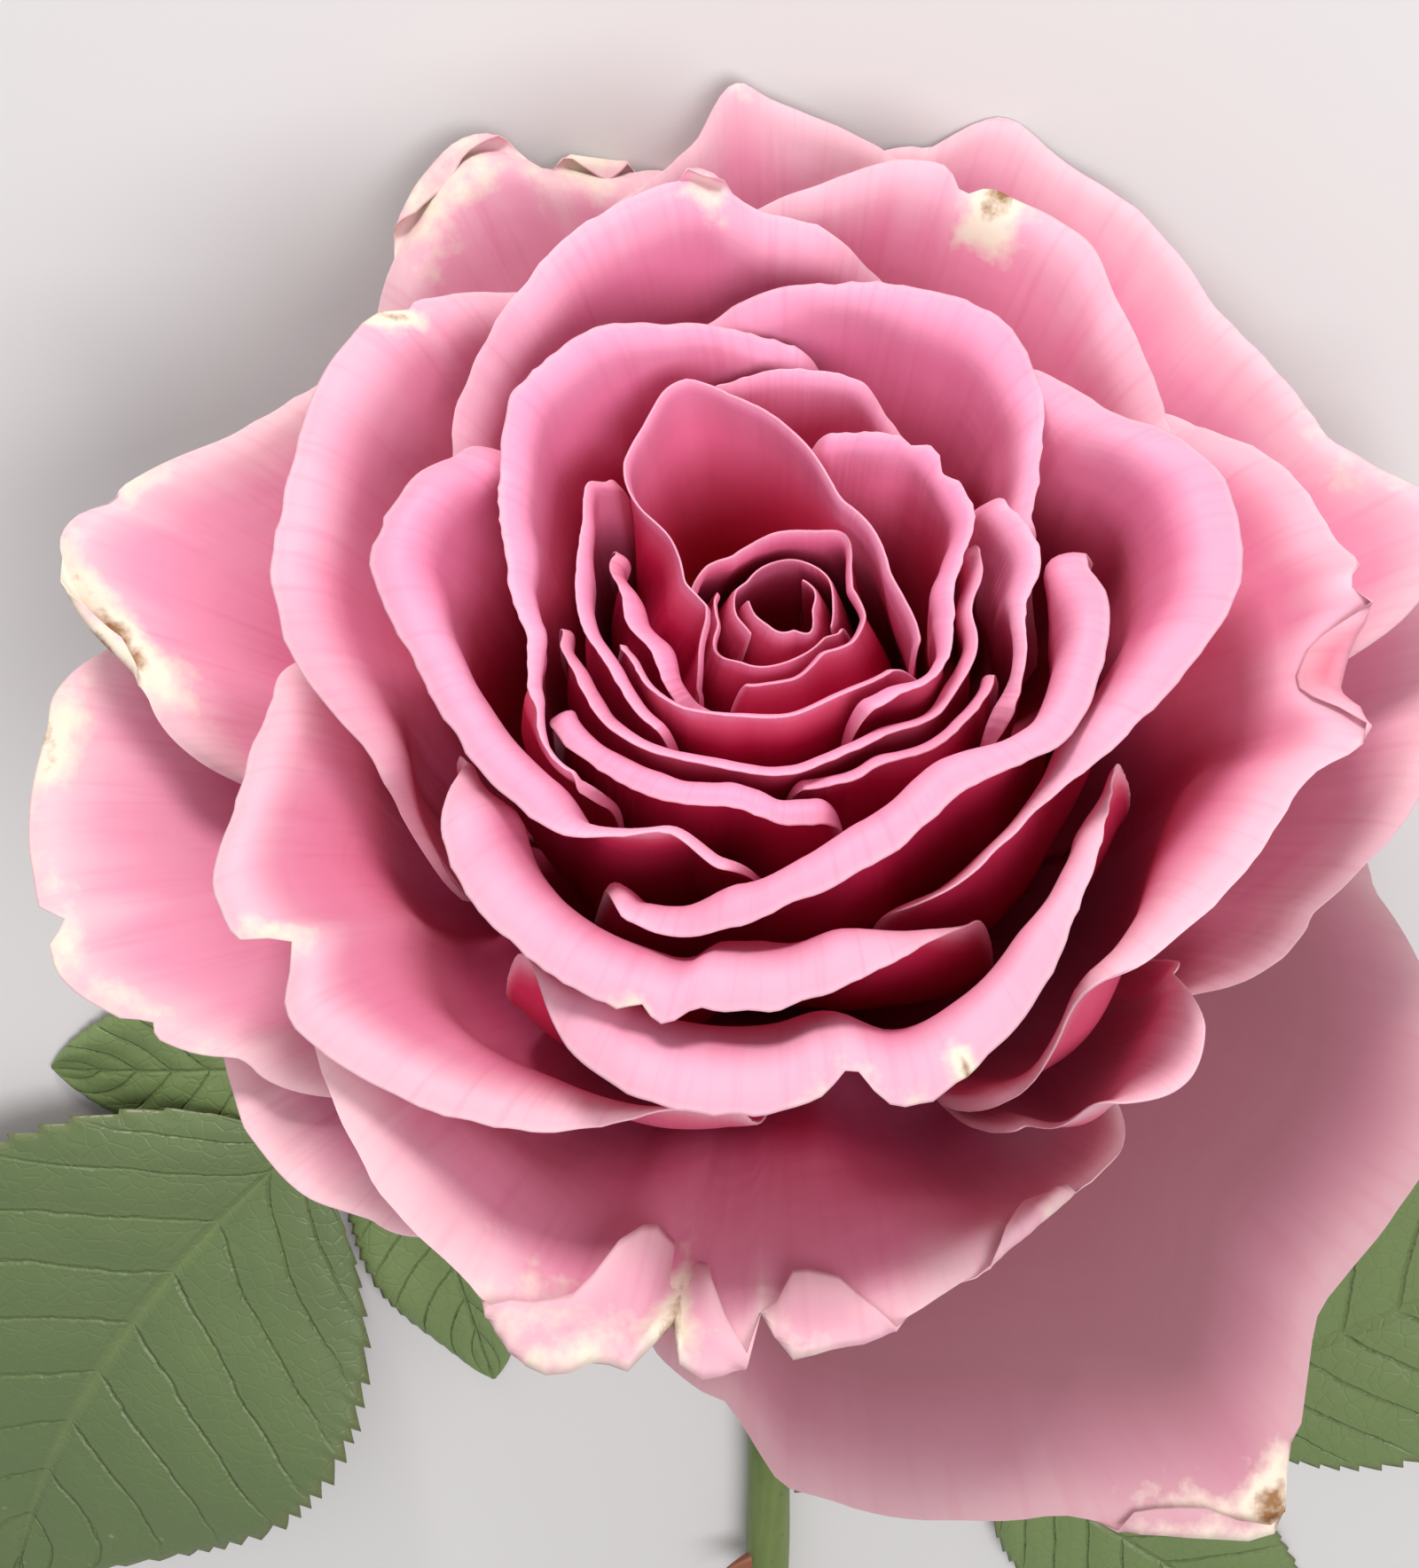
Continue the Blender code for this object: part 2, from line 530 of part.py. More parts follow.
def make_stem(group, scraps, frame, parent):
    green = material("stem_green", (0.20, 0.27, 0.08), 0.55)
    hip = lathe("hip_outline", HIP, scraps, 16)
    radii = np.linspace(NECK_RADIUS, STEM_RADIUS, len(STEM_PATH))
    stalk = tube("stalk", STEM_PATH, radii, scraps, 12)
    meshes = [solid_mesh(stalk, Matrix.Identity(4)), solid_mesh(hip, frame)]
    ys = [p[1] for p in STEM_PATH]
    for along, around, length in PRICKLES:
        centre = Vector((np.interp(along, ys, [p[0] for p in STEM_PATH]), along,
                         np.interp(along, ys, [p[2] for p in STEM_PATH])))
        turn = radians(around)
        out = Vector((sin(turn), 0.35, cos(turn))).normalized()
        bm = bmesh.new()
        bmesh.ops.create_cone(bm, cap_ends=True, segments=8, radius1=1.7 * MM, radius2=0.12 * MM,
                              depth=(length + 1.2) * MM)
        bm.transform(Matrix.Diagonal((0.55, 1.0, 1.0, 1.0)))
        bm.transform(Matrix.Translation((0, 0, (length + 1.2) / 2 * MM)))
        bm.transform(out.to_track_quat("Z", "Y").to_matrix().to_4x4())
        start = centre + Vector((sin(turn), 0, cos(turn))) * (STEM_RADIUS - 1.2)
        bm.transform(Matrix.Translation(start * MM))
        mesh = bpy.data.meshes.new("prickle")
        bm.to_mesh(mesh)
        bm.free()
        meshes.append(mesh)
    join_solids("stem", meshes, scraps, group, green, parent)


def make_sepals(group, parent):
    green = material("sepal_green", (0.22, 0.33, 0.10), 0.6)
    rows = 7
    t = np.linspace(0, 1, rows + 1)
    lean = np.radians(SEPAL_LEAN[0] + (SEPAL_LEAN[1] - SEPAL_LEAN[0]) * ease(t * 1.4))
    radius = SEPAL_START[0] + running_sum(np.sin(lean), SEPAL_LENGTH / rows)
    height = SEPAL_START[1] + running_sum(np.cos(lean), SEPAL_LENGTH / rows)
    wide = np.maximum(SEPAL_HALF_WIDTH * np.sin(pi * (0.22 + 0.78 * t) ** 0.8) ** 0.9, 0.4)
    u = np.linspace(-1, 1, 5)[:, None]
    for k in range(5):
        turn = radians(FIRST_SEPAL + 72 * k)
        side = wide[None, :] * u
        cup = radius[None, :] - 0.03 * side ** 2
        points = np.stack((cup * cos(turn) - side * sin(turn), cup * sin(turn) + side * cos(turn),
                           height[None, :] + 0 * side), axis=-1)
        name = f"sepal_{k + 1}"
        add_skin(name, sheet(name, points), SEPAL_THICKNESS, group, green, parent)


def make_leaves(group, scraps, parent):
    green = material("leaf_green", (0.13, 0.24, 0.07), 0.5)
    for leaf, rachis, leaflets in LEAVES:
        stalk = tube(leaf + "_line", rachis, RACHIS_RADII, scraps, 8)
        add(leaf + "_stalk", solid_mesh(stalk, Matrix.Identity(4)), group, green, parent)
        for side, base, heading, bend, length, half_width, arch, lift in leaflets:
            name = f"{leaf}_{side}_leaflet"
            points = set_down(blade(length, half_width, bend, arch, lift, 6, 9), base, heading)
            add_skin(name, sheet(name, points), LEAF_THICKNESS, group, green, parent)


def make_stamens(group, scraps, parent):
    gold = material("stamen_gold", (0.75, 0.55, 0.15), 0.7)
    style = lathe("style_outline", ((0, 2.85), (0.75, 2.85), (0.75, 3.5), (0.45, 4.2), (0.45, 8.0),
                                    (0.9, 8.6), (0.9, 9.4), (0, 9.8)), scraps, 10)
    meshes = [solid_mesh(style, Matrix.Identity(4))]
    for k in range(STAMEN_COUNT):
        turn = 2 * pi * k / STAMEN_COUNT
        foot = Vector((0.45 * cos(turn), 0.45 * sin(turn), 3.2))
        tip = Vector((STAMEN_SPREAD * cos(turn), STAMEN_SPREAD * sin(turn), 3.2 + STAMEN_HEIGHT))
        middle = foot.lerp(tip, 0.5) + Vector((cos(turn), sin(turn), 0)) * 0.5
        line = tube(f"filament_{k}", (foot, middle, tip), (0.2, 0.2, 0.16), scraps, 4)
        meshes.append(solid_mesh(line, Matrix.Identity(4)))
        bm = bmesh.new()
        bmesh.ops.create_icosphere(bm, subdivisions=1, radius=0.62 * MM)
        bm.transform(Matrix.Translation(tip * MM) @ Matrix.Diagonal((0.8, 0.8, 1.3, 1)))
        mesh = bpy.data.meshes.new("anther")
        bm.to_mesh(mesh)
        bm.free()
        meshes.append(mesh)
    join_solids("stamens", meshes, scraps, group, gold, parent)


def main():
    clear()
    group = collection("rose_flower")
    scraps = collection("cutters")
    frame = bloom_frame()
    bloom = bpy.data.objects.new("bloom", None)
    group.objects.link(bloom)
    bloom.matrix_world = frame
    bpy.context.view_layer.update()
    make_petals(group, bloom)
    make_sepals(group, bloom)
    make_stamens(group, scraps, bloom)
    make_stem(group, scraps, frame, None)
    make_leaves(group, scraps, None)
    for item in group.objects:
        if item.parent is None:
            item.location -= Vector(MIDDLE_OF_FOOTPRINT) * MM
    for item in scraps.objects:
        item.hide_render = True
        item.display_type = "WIRE"


main()
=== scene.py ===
"""Looks of a cut garden rose lying on a table: petals, sepals, leaves, stem and stamens.

Every piece stands for the CAD node of the same name.  Lengths are millimetres until a mesh is
made.  Petals are grown by the rules that the CAD solids follow, on a finer grid."""
import bpy
import numpy as np
from math import cos, pi, radians, sin
from mathutils import Matrix, Vector


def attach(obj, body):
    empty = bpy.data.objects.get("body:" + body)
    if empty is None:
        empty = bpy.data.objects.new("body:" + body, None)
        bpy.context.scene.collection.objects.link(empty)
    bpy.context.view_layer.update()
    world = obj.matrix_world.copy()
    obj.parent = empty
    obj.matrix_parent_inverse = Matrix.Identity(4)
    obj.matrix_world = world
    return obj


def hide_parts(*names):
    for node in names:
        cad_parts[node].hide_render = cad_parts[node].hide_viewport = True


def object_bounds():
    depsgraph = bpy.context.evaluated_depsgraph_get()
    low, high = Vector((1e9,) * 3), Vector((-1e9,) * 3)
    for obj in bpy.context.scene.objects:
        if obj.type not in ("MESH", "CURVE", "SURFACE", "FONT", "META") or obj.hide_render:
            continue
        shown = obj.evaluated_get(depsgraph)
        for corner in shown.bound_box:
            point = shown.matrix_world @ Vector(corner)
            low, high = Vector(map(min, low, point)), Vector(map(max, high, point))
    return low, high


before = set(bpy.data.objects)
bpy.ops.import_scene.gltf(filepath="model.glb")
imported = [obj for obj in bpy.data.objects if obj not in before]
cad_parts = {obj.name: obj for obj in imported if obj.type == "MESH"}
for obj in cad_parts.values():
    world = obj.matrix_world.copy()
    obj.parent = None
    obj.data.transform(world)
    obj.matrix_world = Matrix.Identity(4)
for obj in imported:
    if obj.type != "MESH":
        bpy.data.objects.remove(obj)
cad_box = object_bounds()
scene = bpy.context.scene

MM = 0.001

# ---- how the flower lies: the bloom's own axes above the table, as in the CAD ----
FACE_UP = 37
DOWN_BEARING = 81
CLAWS_ABOVE_TABLE = 27.5
MIDDLE_OF_FOOTPRINT = (1.58, 44.28, -0.04)

# ---- stem, hip and prickles ----
HIP = ((0, 2.5), (1.2, 1.95), (5.5, -1.85), (9.3, -5.15), (9.6, -6.2), (8.6, -8.2), (8, -11),
       (7.4, -15), (5.6, -19), (3.4, -22), (2.4, -24.5), (0, -24.5))
STEM_RADIUS = 2.7
NECK_RADIUS = 2.2
STEM_PATH = ((0, 12, 18.5), (0, 17.6, 14.3), (0, 24, 9.9), (-0.4, 31.5, 6.2), (-1.2, 40, 3.9),
             (-2.2, 49, 2.9), (-4, 66, 2.7), (-6, 90, 2.75), (-8.6, 118, 2.75), (-11.5, 150, 2.75))
# how far along the straight stem, degrees round it from the top, length
PRICKLES = ((58, 70, 4), (72, -60, 4.5), (88, 40, 3.5), (104, -75, 5), (121, 60, 5), (137, -35, 4))

# ---- sepals ----
SEPAL_LENGTH = 22
SEPAL_HALF_WIDTH = 4
SEPAL_START = (10.4, -6.6)        # radius and height on the hip
SEPAL_LEAN = (150, 186)           # degrees from upright at its base and at its tip
FIRST_SEPAL = 45

# ---- leaves ----
LEAF_THICKNESS = 0.5
LEAF_DROOP = 1.5
# name, rachis as points above the table, then leaflets: name, base, heading at the base, how far
# the heading turns toward the tip, length, half width, arch, fold up along the midrib
LEAVES = (
    ("leaf_1", ((2.1, 36.3, 5), (14, 38.5, 4.2), (30, 46, 3), (41, 57, 3), (49.4, 68.6, 3.4)),
     (("terminal", (50.1, 69.6, 3.4), 50, 32, 84, 30, 3.5, 0.1),
      ("left", (39.6, 58, 1.8), 105, 4, 46, 11, 0.6, 0.04),
      ("right", (43, 57.2, 1.8), 18, -8, 38, 11.5, 0.6, 0.04))),
    ("leaf_2", ((-10.8, 108, 3.4), (-22, 105, 3), (-32, 100, 2.8), (-42, 93, 3.1),
                (-50, 86.2, 3.4)),
     (("terminal", (-50.6, 85.7, 3.4), 218, 0, 60, 20, 3.5, 0.1),
      ("left", (-31.4, 98.6, 1.8), 290, 0, 34, 11, 0.6, 0.04),
      ("right", (-34, 100.6, 1.8), 150, 0, 48, 14, 0.6, 0.04))),
)
RACHIS_RADII = (1.3, 1.1, 0.9, 0.8, 0.7)

# ---- petals ----
PETAL_GAP = 0.84                  # between the middles of two petals that lie on each other
# Some petals stand further off the ones inside them, because they curl or fold there.
LOOSER_PETALS = {
    "heart_petal_4": 0.33, "middle_petal_1": 0.16, "middle_petal_2": 0.08, "middle_petal_6": 0.32,
    "middle_petal_9": 0.58, "outer_petal_1": 1.13, "outer_petal_2": 0.55}
CLAW_START = 0.8                  # how far above the receptacle a petal begins
CLAW_SHARE = 0.62                 # width of the claw against the blade, as an angle
FULL_LENGTH = 75                  # length over which the family of profiles is drawn
COLUMNS = 60                      # doubled for petals that reach further round than WIDE_WRAP
WIDE_WRAP = 150
ROWS = 48

# A petal's profile leans out from upright by an angle that changes along its length.  These are
# its lean at the claw, half way and at the rim, for a closed petal and for a wide open one, and
# the radius and height at which the claw stands on the receptacle.
CLOSED = (36, -50, 8, 1.5, 2)
OPEN = (92, 80, 100, 9.5, -5)

# Every ring of petals, from the heart outward.  A petal is: roll width, roll angle, hidden flap
# before and after (degrees), then its rim: bearing (degrees), length of the petal there, openness
# (0 closed, 100 wide open), share of the roll (1).
HEART = (
    (0, 0, 12, 14, ((165, 43, 0), (185, 42, -1.5), (226, 42, -2.5), (294, 42, -2.5), (324, 42, -1),
     (356, 43, -1), (402, 43, 0), (420, 43, 0))),
    (0, 0, 12, 14, ((-15, 42, 1), (10, 43, 1.5), (44, 43, 2.5), (74, 43, 2.5), (108, 43, 2),
     (135, 43, 1.5), (152, 43, 1), (170, 42, 0), (205, 41, -1))),
    (1, 40, 10, 14, ((160, 42, 2), (185, 42, 3), (209, 42, 5), (234, 43, 4), (270, 43, 2.5),
     (315, 43, 1.5), (340, 43, 2))),
    (2, 40, 12, 10, ((-114, 44, 7), (-86, 44, 5), (-52, 45, 3.5), (-23, 45, 3.5), (9, 45, 4),
     (29, 45, 5), (50, 46, 7.5), (67, 46, 6), (97, 46, 5), (124, 45, 4.5), (153, 45, 3.5),
     (168, 44, 4))),
)
INNER = (
    (2, 30, 10, 8, ((-21, 48, 13), (9, 50, 9), (54, 50, 9), (80, 50, 14), (102, 50, 22),
     (114, 51, 26), (128, 50, 23), (141, 50, 20), (149, 50, 16), (154, 50, 12), (160, 49, 9),
     (170, 48, 7), (195, 47, 6), (213, 44, 8), (219, 41, 9))),
    (5, 60, 8, 14, ((157, 44, 12), (164, 45, 14), (174, 46, 15), (184, 46, 15), (200, 46, 13),
     (218, 45, 12), (232, 42, 11))),
    (2, 40, 12, 14, ((197, 47, 16), (210, 48, 15), (225, 48, 14), (246, 48, 13), (270, 48, 12),
     (294, 48, 11), (324, 47, 12))),
    (4, 60, 14, 14, ((-56, 50, 14), (-17, 51, 14), (10, 51, 17), (27, 51, 20), (46, 52, 20),
     (58, 52, 18), (73, 50, 17))),
    (3, 50, 10, 12, ((141, 47, 20), (147, 49, 22), (158, 49, 21), (185, 49, 20), (206, 49, 18),
     (226, 48, 18))),
    (3, 50, 8, 10, ((185, 46, 21), (192, 47, 22), (212, 48, 22), (225, 49, 21), (245, 49, 19),
     (275, 49, 18), (297, 49, 16), (325, 49, 16), (353, 49, 17), (366, 49, 19), (376, 48, 20))),
    (3, 50, 10, 10, ((276, 48, 19), (285, 49, 19), (300, 49, 18), (322, 49, 18), (338, 48, 19))),
    (3, 50, 14, 14, ((51, 44, 23), (64, 47, 25), (74, 50, 26), (86, 50, 26), (103, 48, 27))),
)
MIDDLE = (
    (4, 90, 8, 10, ((208, 48, 25), (226, 49, 23), (244, 50, 22), (261, 50, 21), (277, 50, 21))),
    (5, 70, 14, 10, ((88, 50, 28), (99, 52, 29), (111, 54, 31), (126, 56, 33), (140, 56, 33),
     (156, 54, 30), (176, 54, 26), (200, 54, 23), (222, 53, 23, 0.6))),
    (4, 60, 14, 14, ((-27, 52, 21), (-13, 54, 21), (6, 54, 24), (22, 52, 23))),
    (6, 70, 14, 14, ((21, 50, 23), (33, 53, 29), (42, 54, 34), (56, 56, 36), (72, 56, 34),
     (84, 55, 32), (94, 53, 32), (104, 50, 32))),
    (8, 90, 14, 10, ((154, 54, 31), (163, 57, 34), (175, 58, 38), (184, 58, 36), (197, 58, 32),
     (222, 57, 29), (232, 56, 28, 0.6), (244, 55, 27, 0.3), (257, 53, 29, 0.3))),
    (7, 90, 12, 14, ((-115, 54, 35, 0.4), (-107, 55, 33, 0.7), (-99, 56, 31), (-75, 57, 29),
     (-50, 57, 26), (-30, 57, 27), (-12, 57, 26), (4, 54, 23))),
    (8, 80, 10, 14, ((-69, 51, 34, 0.1), (-65, 53, 34, 0.1), (-52, 55, 32, 0.2),
     (-39, 56, 31, 0.4), (-28, 58, 32, 0.8), (-12, 60, 36), (2, 60, 41), (14, 60, 42), (22, 59, 40),
     (32, 56, 36), (44, 53, 35))),
    (6, 60, 14, 14, ((74, 51, 43), (84, 56, 42), (92, 57, 43), (103, 61, 44), (113, 60, 44),
     (130, 57, 42), (143, 53, 42), (152, 50, 40))),
    (9, 80, 9, 8, ((205, 49, 33, 0.1), (212, 56, 35, 0.4), (221, 60, 38), (230, 60, 40),
     (248, 60, 41), (255, 61, 41), (260, 59, 39), (268, 60, 39), (276, 60, 38), (284, 59, 37, 0.7),
     (292, 55, 36, 0.3), (299, 50, 36, 0.1))),
)
OUTER = (
    (8, 80, 6, 6, ((234, 52, 43, 0.1), (240, 57, 44, 0.5), (248, 60, 45), (256, 62, 46),
     (268, 62, 47), (275, 61, 46), (283, 62, 48), (293, 61, 46), (303, 59, 43), (312, 57, 40, 0.7),
     (322, 55, 38, 0.4), (334, 51, 36, 0.1))),
    (7, 60, 16, 14, ((122, 53, 51), (139, 60, 52), (147, 61, 51), (163, 59, 50), (178, 58, 49),
     (188, 54, 48), (196, 50, 46))),
    (5, 50, 14, 16, ((34, 51, 53), (46, 56, 52), (56, 60, 53), (67, 60, 53), (73, 61, 52),
     (86, 57, 52), (95, 54, 52))),
    (6, 50, 6, 14, ((-62, 44, 43), (-56, 52, 45), (-50, 58, 47), (-41, 59, 48), (-29, 60, 49),
     (-18, 60, 51), (-12, 62, 54), (-7, 59, 53), (-2, 60, 53), (4, 64, 53), (9, 61, 54),
     (22, 57, 56), (33, 51, 57))),
    (2, 30, 5, 7, ((299, 45, 50), (302, 53, 54), (305, 57, 58), (311, 58, 60), (316, 57, 58),
     (320, 50, 55))),
    (6, 60, 14, 6, ((184, 52, 57), (196, 57, 58), (206, 61, 60), (210, 61, 60), (214, 58, 59),
     (219, 61, 60), (230, 60, 59), (240, 59, 57), (248, 57, 55, 0.7), (255, 53, 53, 0.3),
     (263, 48, 51, 0.1))),
    (3, 30, 18, 16, ((76, 58, 61), (84, 61, 62), (90, 63, 62), (94, 65, 62), (98, 60, 62),
     (105, 56, 62))),
    (3, 30, 14, 18, ((14, 66, 66), (27, 59, 65), (40, 59, 64), (53, 62, 64), (63, 63, 64),
     (69, 65, 64), (75, 60, 64))),
    (3, 30, 18, 14, ((-22, 50, 72), (-8, 57, 74), (8, 62, 76), (20, 61, 76))),
)
GUARD = (
    (6, 70, 18, 18, ((105, 57, 69), (110, 59, 69), (118, 64, 69), (128, 59, 69), (134, 55, 69))),
    (4, 40, 14, 14, ((143, 55, 71), (152, 58, 72), (162, 65, 72), (167, 68, 72), (172, 64, 72),
     (178, 58, 70))),
    (5, 40, 16, 16, ((220, 58, 62), (236, 62, 67), (244, 61, 71), (252, 65, 72), (256, 63, 71),
     (260, 64, 71), (268, 62, 70), (282, 59, 69), (292, 54, 68), (300, 50, 66))),
    (4, 30, 14, 14, ((179, 64, 80), (190, 66, 79), (200, 66, 79), (206, 62, 79), (211, 58, 78),
     (214, 55, 76))),
    (2, 20, 14, 14, ((211, 54, 82), (218, 56, 82), (226, 57, 80), (232, 55, 79))),
    (4, 30, 16, 16, ((266, 50, 95), (276, 56, 96), (287, 63, 97), (296, 69, 98), (303, 74, 98),
     (308, 69, 98), (316, 62, 97), (328, 62, 97), (343, 56, 98), (352, 49, 98))),
)
RINGS = {"heart": HEART, "inner": INNER, "middle": MIDDLE, "outer": OUTER, "guard": GUARD}
PETALS = [(f"{ring}_petal_{number}", *petal)
          for ring, petals in RINGS.items() for number, petal in enumerate(petals, 1)]


def running_sum(values, step):
    """Integral along the last axis, starting from nought."""
    total = np.zeros_like(values)
    total[..., 1:] = np.cumsum((values[..., 1:] + values[..., :-1]) / 2, axis=-1) * step
    return total


OPENNESS_STEP = 0.01
LENGTH_STEP = 0.5
OPENNESS = np.arange(-0.3, 1.801, OPENNESS_STEP)
UNCOVERED = -9.0                  # further in than any openness
LONGEST = 100                     # no petal is longer (mm)
LENGTH = np.arange(0.0, LONGEST + 0.01, LENGTH_STEP)


def family():
    """Radius and height of every profile: rows by openness, columns by length."""
    claw, middle, rim, radius, height = (
        a + (b - a) * OPENNESS[:, None] for a, b in zip(CLOSED, OPEN))
    t = LENGTH / FULL_LENGTH
    lean = np.radians(claw * (1 - t) ** 2 + 2 * middle * t * (1 - t) + rim * t ** 2)
    radii = radius + running_sum(np.sin(lean), LENGTH_STEP)
    return np.maximum(radii, 0.5), height + running_sum(np.cos(lean), LENGTH_STEP)


FAMILY = np.stack(family())


def profile(openness, length):
    """Radius and height of a point on the family of profiles."""
    i = np.clip((openness - OPENNESS[0]) / OPENNESS_STEP, 0, len(OPENNESS) - 1.001)
    j = np.clip(length / LENGTH_STEP, 0, len(LENGTH) - 1.001)
    i0 = i.astype(int)
    j0 = j.astype(int)
    a = i - i0
    b = j - j0
    near, far = (FAMILY[:, k, j0] * (1 - b) + FAMILY[:, k, j0 + 1] * b for k in (i0, i0 + 1))
    return near * (1 - a) + far * a


def spread(openness, length):
    """How far apart two profiles stand, square to them, for one unit of openness."""
    r1, z1 = profile(openness - 0.01, length)
    r2, z2 = profile(openness + 0.01, length)
    ra, za = profile(openness, np.maximum(length - 1, 0))
    rb, zb = profile(openness, length + 1)
    run = np.hypot(rb - ra, zb - za) + 1e-9
    across = ((r2 - r1) * (zb - za) - (z2 - z1) * (rb - ra)) / run
    return np.maximum(across / 0.02, 3)


def through(x, xs, ys):
    """Smooth curve through the given points that does not overshoot them."""
    xs = np.asarray(xs, float)
    ys = np.asarray(ys, float)
    width = np.diff(xs)
    slope = np.diff(ys) / width
    tangent = np.concatenate((slope[:1], (slope[1:] + slope[:-1]) / 2, slope[-1:]))
    turns = np.concatenate(((False,), slope[1:] * slope[:-1] <= 0, (False,)))
    tangent[turns] = 0
    limit = 3 * np.minimum(np.abs(np.append(slope, slope[-1])), np.abs(np.append(slope[0], slope)))
    tangent = np.clip(tangent, -limit, limit)
    x = np.clip(x, xs[0], xs[-1])
    k = np.clip(np.searchsorted(xs, x, side="right") - 1, 0, len(xs) - 2)
    h = width[k]
    t = (x - xs[k]) / h
    return ((1 + 2 * t) * (1 - t) ** 2 * ys[k] + t * (1 - t) ** 2 * h * tangent[k]
            + t * t * (3 - 2 * t) * ys[k + 1] + t * t * (t - 1) * h * tangent[k + 1])


def ease(x):
    x = np.clip(x, 0, 1)
    return x * x * (3 - 2 * x)


def widen(field):
    """Raise every value to the highest one nearby, then soften the result."""
    for axis, reach, merge in ((0, 4, np.max), (1, 4, np.max), (0, 3, np.mean), (1, 3, np.mean)):
        sides = [(reach, reach) if a == axis else (0, 0) for a in (0, 1)]
        padded = np.pad(field, sides, mode="edge")
        count = field.shape[axis]
        shifted = [np.take(padded, range(k, k + count), axis) for k in range(2 * reach + 1)]
        field = merge(shifted, axis=0)
    return field


def widen_along(field, length):
    """Widen a field given on a petal's grid, comparing places that are equally far up the petal."""
    marks = np.arange(FULL_LENGTH)
    level = np.stack([np.interp(marks, s, f, right=0) for s, f in zip(length, field)])
    return np.stack([np.interp(s, marks, f) for s, f in zip(length, widen(level))])


def column_paths(start, bend_from, path, roll, angle):
    """Walk up every column: straight along its profile, then rolling outward near the rim."""
    rows = ROWS + 1
    share = 1 - (1 - np.linspace(0, 1, rows)) ** 1.4
    along = CLAW_START + share * (path - CLAW_START)[:, None]
    rolled = (along - bend_from[:, None]) / np.maximum(roll, 0.5)[:, None]
    turn = np.radians(angle)[:, None] * ease(rolled)
    openness = np.zeros_like(along)
    length = np.zeros_like(along)
    openness[:, 0] = start
    length[:, 0] = CLAW_START
    for k in range(1, rows):
        step = along[:, k] - along[:, k - 1]
        mean = (turn[:, k] + turn[:, k - 1]) / 2
        length[:, k] = length[:, k - 1] + np.cos(mean) * step
        rise = np.sin(mean) * step / spread(openness[:, k - 1], length[:, k - 1])
        openness[:, k] = openness[:, k - 1] + rise
    return openness, length


def cells(around, length, di=0, dj=0):
    """Where the places of a petal are in the cover, or the cells beside them."""
    i = np.round(around).astype(int) + di
    return i % 360, np.clip(np.round(length).astype(int) + dj, 0, LONGEST)


def lay_petal(cover, gap, roll_width, roll_angle, before, after, rim):
    """Bearing, length and openness on a grid of columns by rows, outside the petals laid before.

    The cover is how far out the bloom has grown, by bearing and length, and grows too."""
    bearings, lengths, opening, shares = zip(*[(*point, 1)[:4] for point in rim])
    first = bearings[0] - before
    last = bearings[-1] + after
    columns = COLUMNS * 2 if last - first > WIDE_WRAP else COLUMNS
    u = np.linspace(0, 1, columns + 1)
    u = 0.45 * u + 0.55 * (0.5 - 0.5 * np.cos(pi * u))
    bearing = first + (last - first) * u
    reach = through(bearing, bearings, lengths)
    open_to = through(bearing, bearings, np.divide(opening, 100))
    share = through(bearing, bearings, shares)
    edge = np.minimum((bearing - first) / before, (last - bearing) / after)
    edge = 0.42 + 0.58 * np.sqrt(np.maximum(1 - (1 - np.clip(edge, 0, 1)) ** 2, 0))
    reach = reach * edge
    roll = roll_width * share * edge ** 2
    angle = roll_angle * edge * np.sqrt(share)
    t = np.linspace(0, 1, 33)
    turn = np.radians(angle)[:, None] * ease(t)
    forward = np.mean(np.cos(turn), axis=1)
    outward = np.mean(np.sin(turn), axis=1)
    bend_from = reach - roll * forward
    start = open_to - roll * outward / spread(open_to, reach)
    openness, length = column_paths(start, bend_from, bend_from + roll, roll, angle)
    middle = (first + last) / 2
    claw = CLAW_SHARE + (1 - CLAW_SHARE) * ease(length / 24)
    around = middle + (bearing - middle)[:, None] * claw
    for _ in range(3):
        near = cover[cells(around, length)]
        short = near + gap / spread(openness, length) - openness
        if short.max() <= 1e-4:
            break
        openness = openness + widen_along(np.maximum(short, 0), length)
    for part in (0, 0.25, 0.5, 0.75):
        i, j, top = (a[:-1] * (1 - part) + a[1:] * part for a in (around, length, openness))
        for di in (-1, 0, 1):
            for dj in (-1, 0, 1):
                np.maximum.at(cover, cells(i, j, di, dj), top)
    return around, length, openness


# ==== looks only ====

# the photograph's view of the bloom, in the bloom's own axes (millimetres, degrees)
VIEW_TILT = 22                    # how far the line of sight leans from the bloom's axis
VIEW_CENTRE = (0, 0, 43)
VIEW_SHIFT = (-6.5, -14.9)        # to the right and up in the picture
VIEW_DISTANCE = 320
LENS_MM = 84.7
SENSOR_MM = 36

FINE_THICKNESS = 0.34
RIPPLE_WAVES = 6


def world_place():
    """The bloom's own axes in the world, with the origin in the middle of the footprint."""
    rise = radians(FACE_UP)
    down = radians(DOWN_BEARING)
    up = Vector((-cos(rise) * cos(down), -cos(rise) * sin(down), sin(rise)))
    along = (up * sin(rise) - Vector((0, 0, 1))) / cos(rise)
    across = along.cross(up)
    turn = Matrix((across, along, up)).to_4x4()
    foot = Vector((0, 0, CLAWS_ABOVE_TABLE)) - Vector(MIDDLE_OF_FOOTPRINT)
    return Matrix.Translation(foot * MM) @ turn


def add_item(name, data):
    """A new object in the scene."""
    item = bpy.data.objects.new(name, data)
    scene.collection.objects.link(item)
    return item


BLOOM = world_place()
TABLE = Matrix.Translation(-Vector(MIDDLE_OF_FOOTPRINT) * MM)


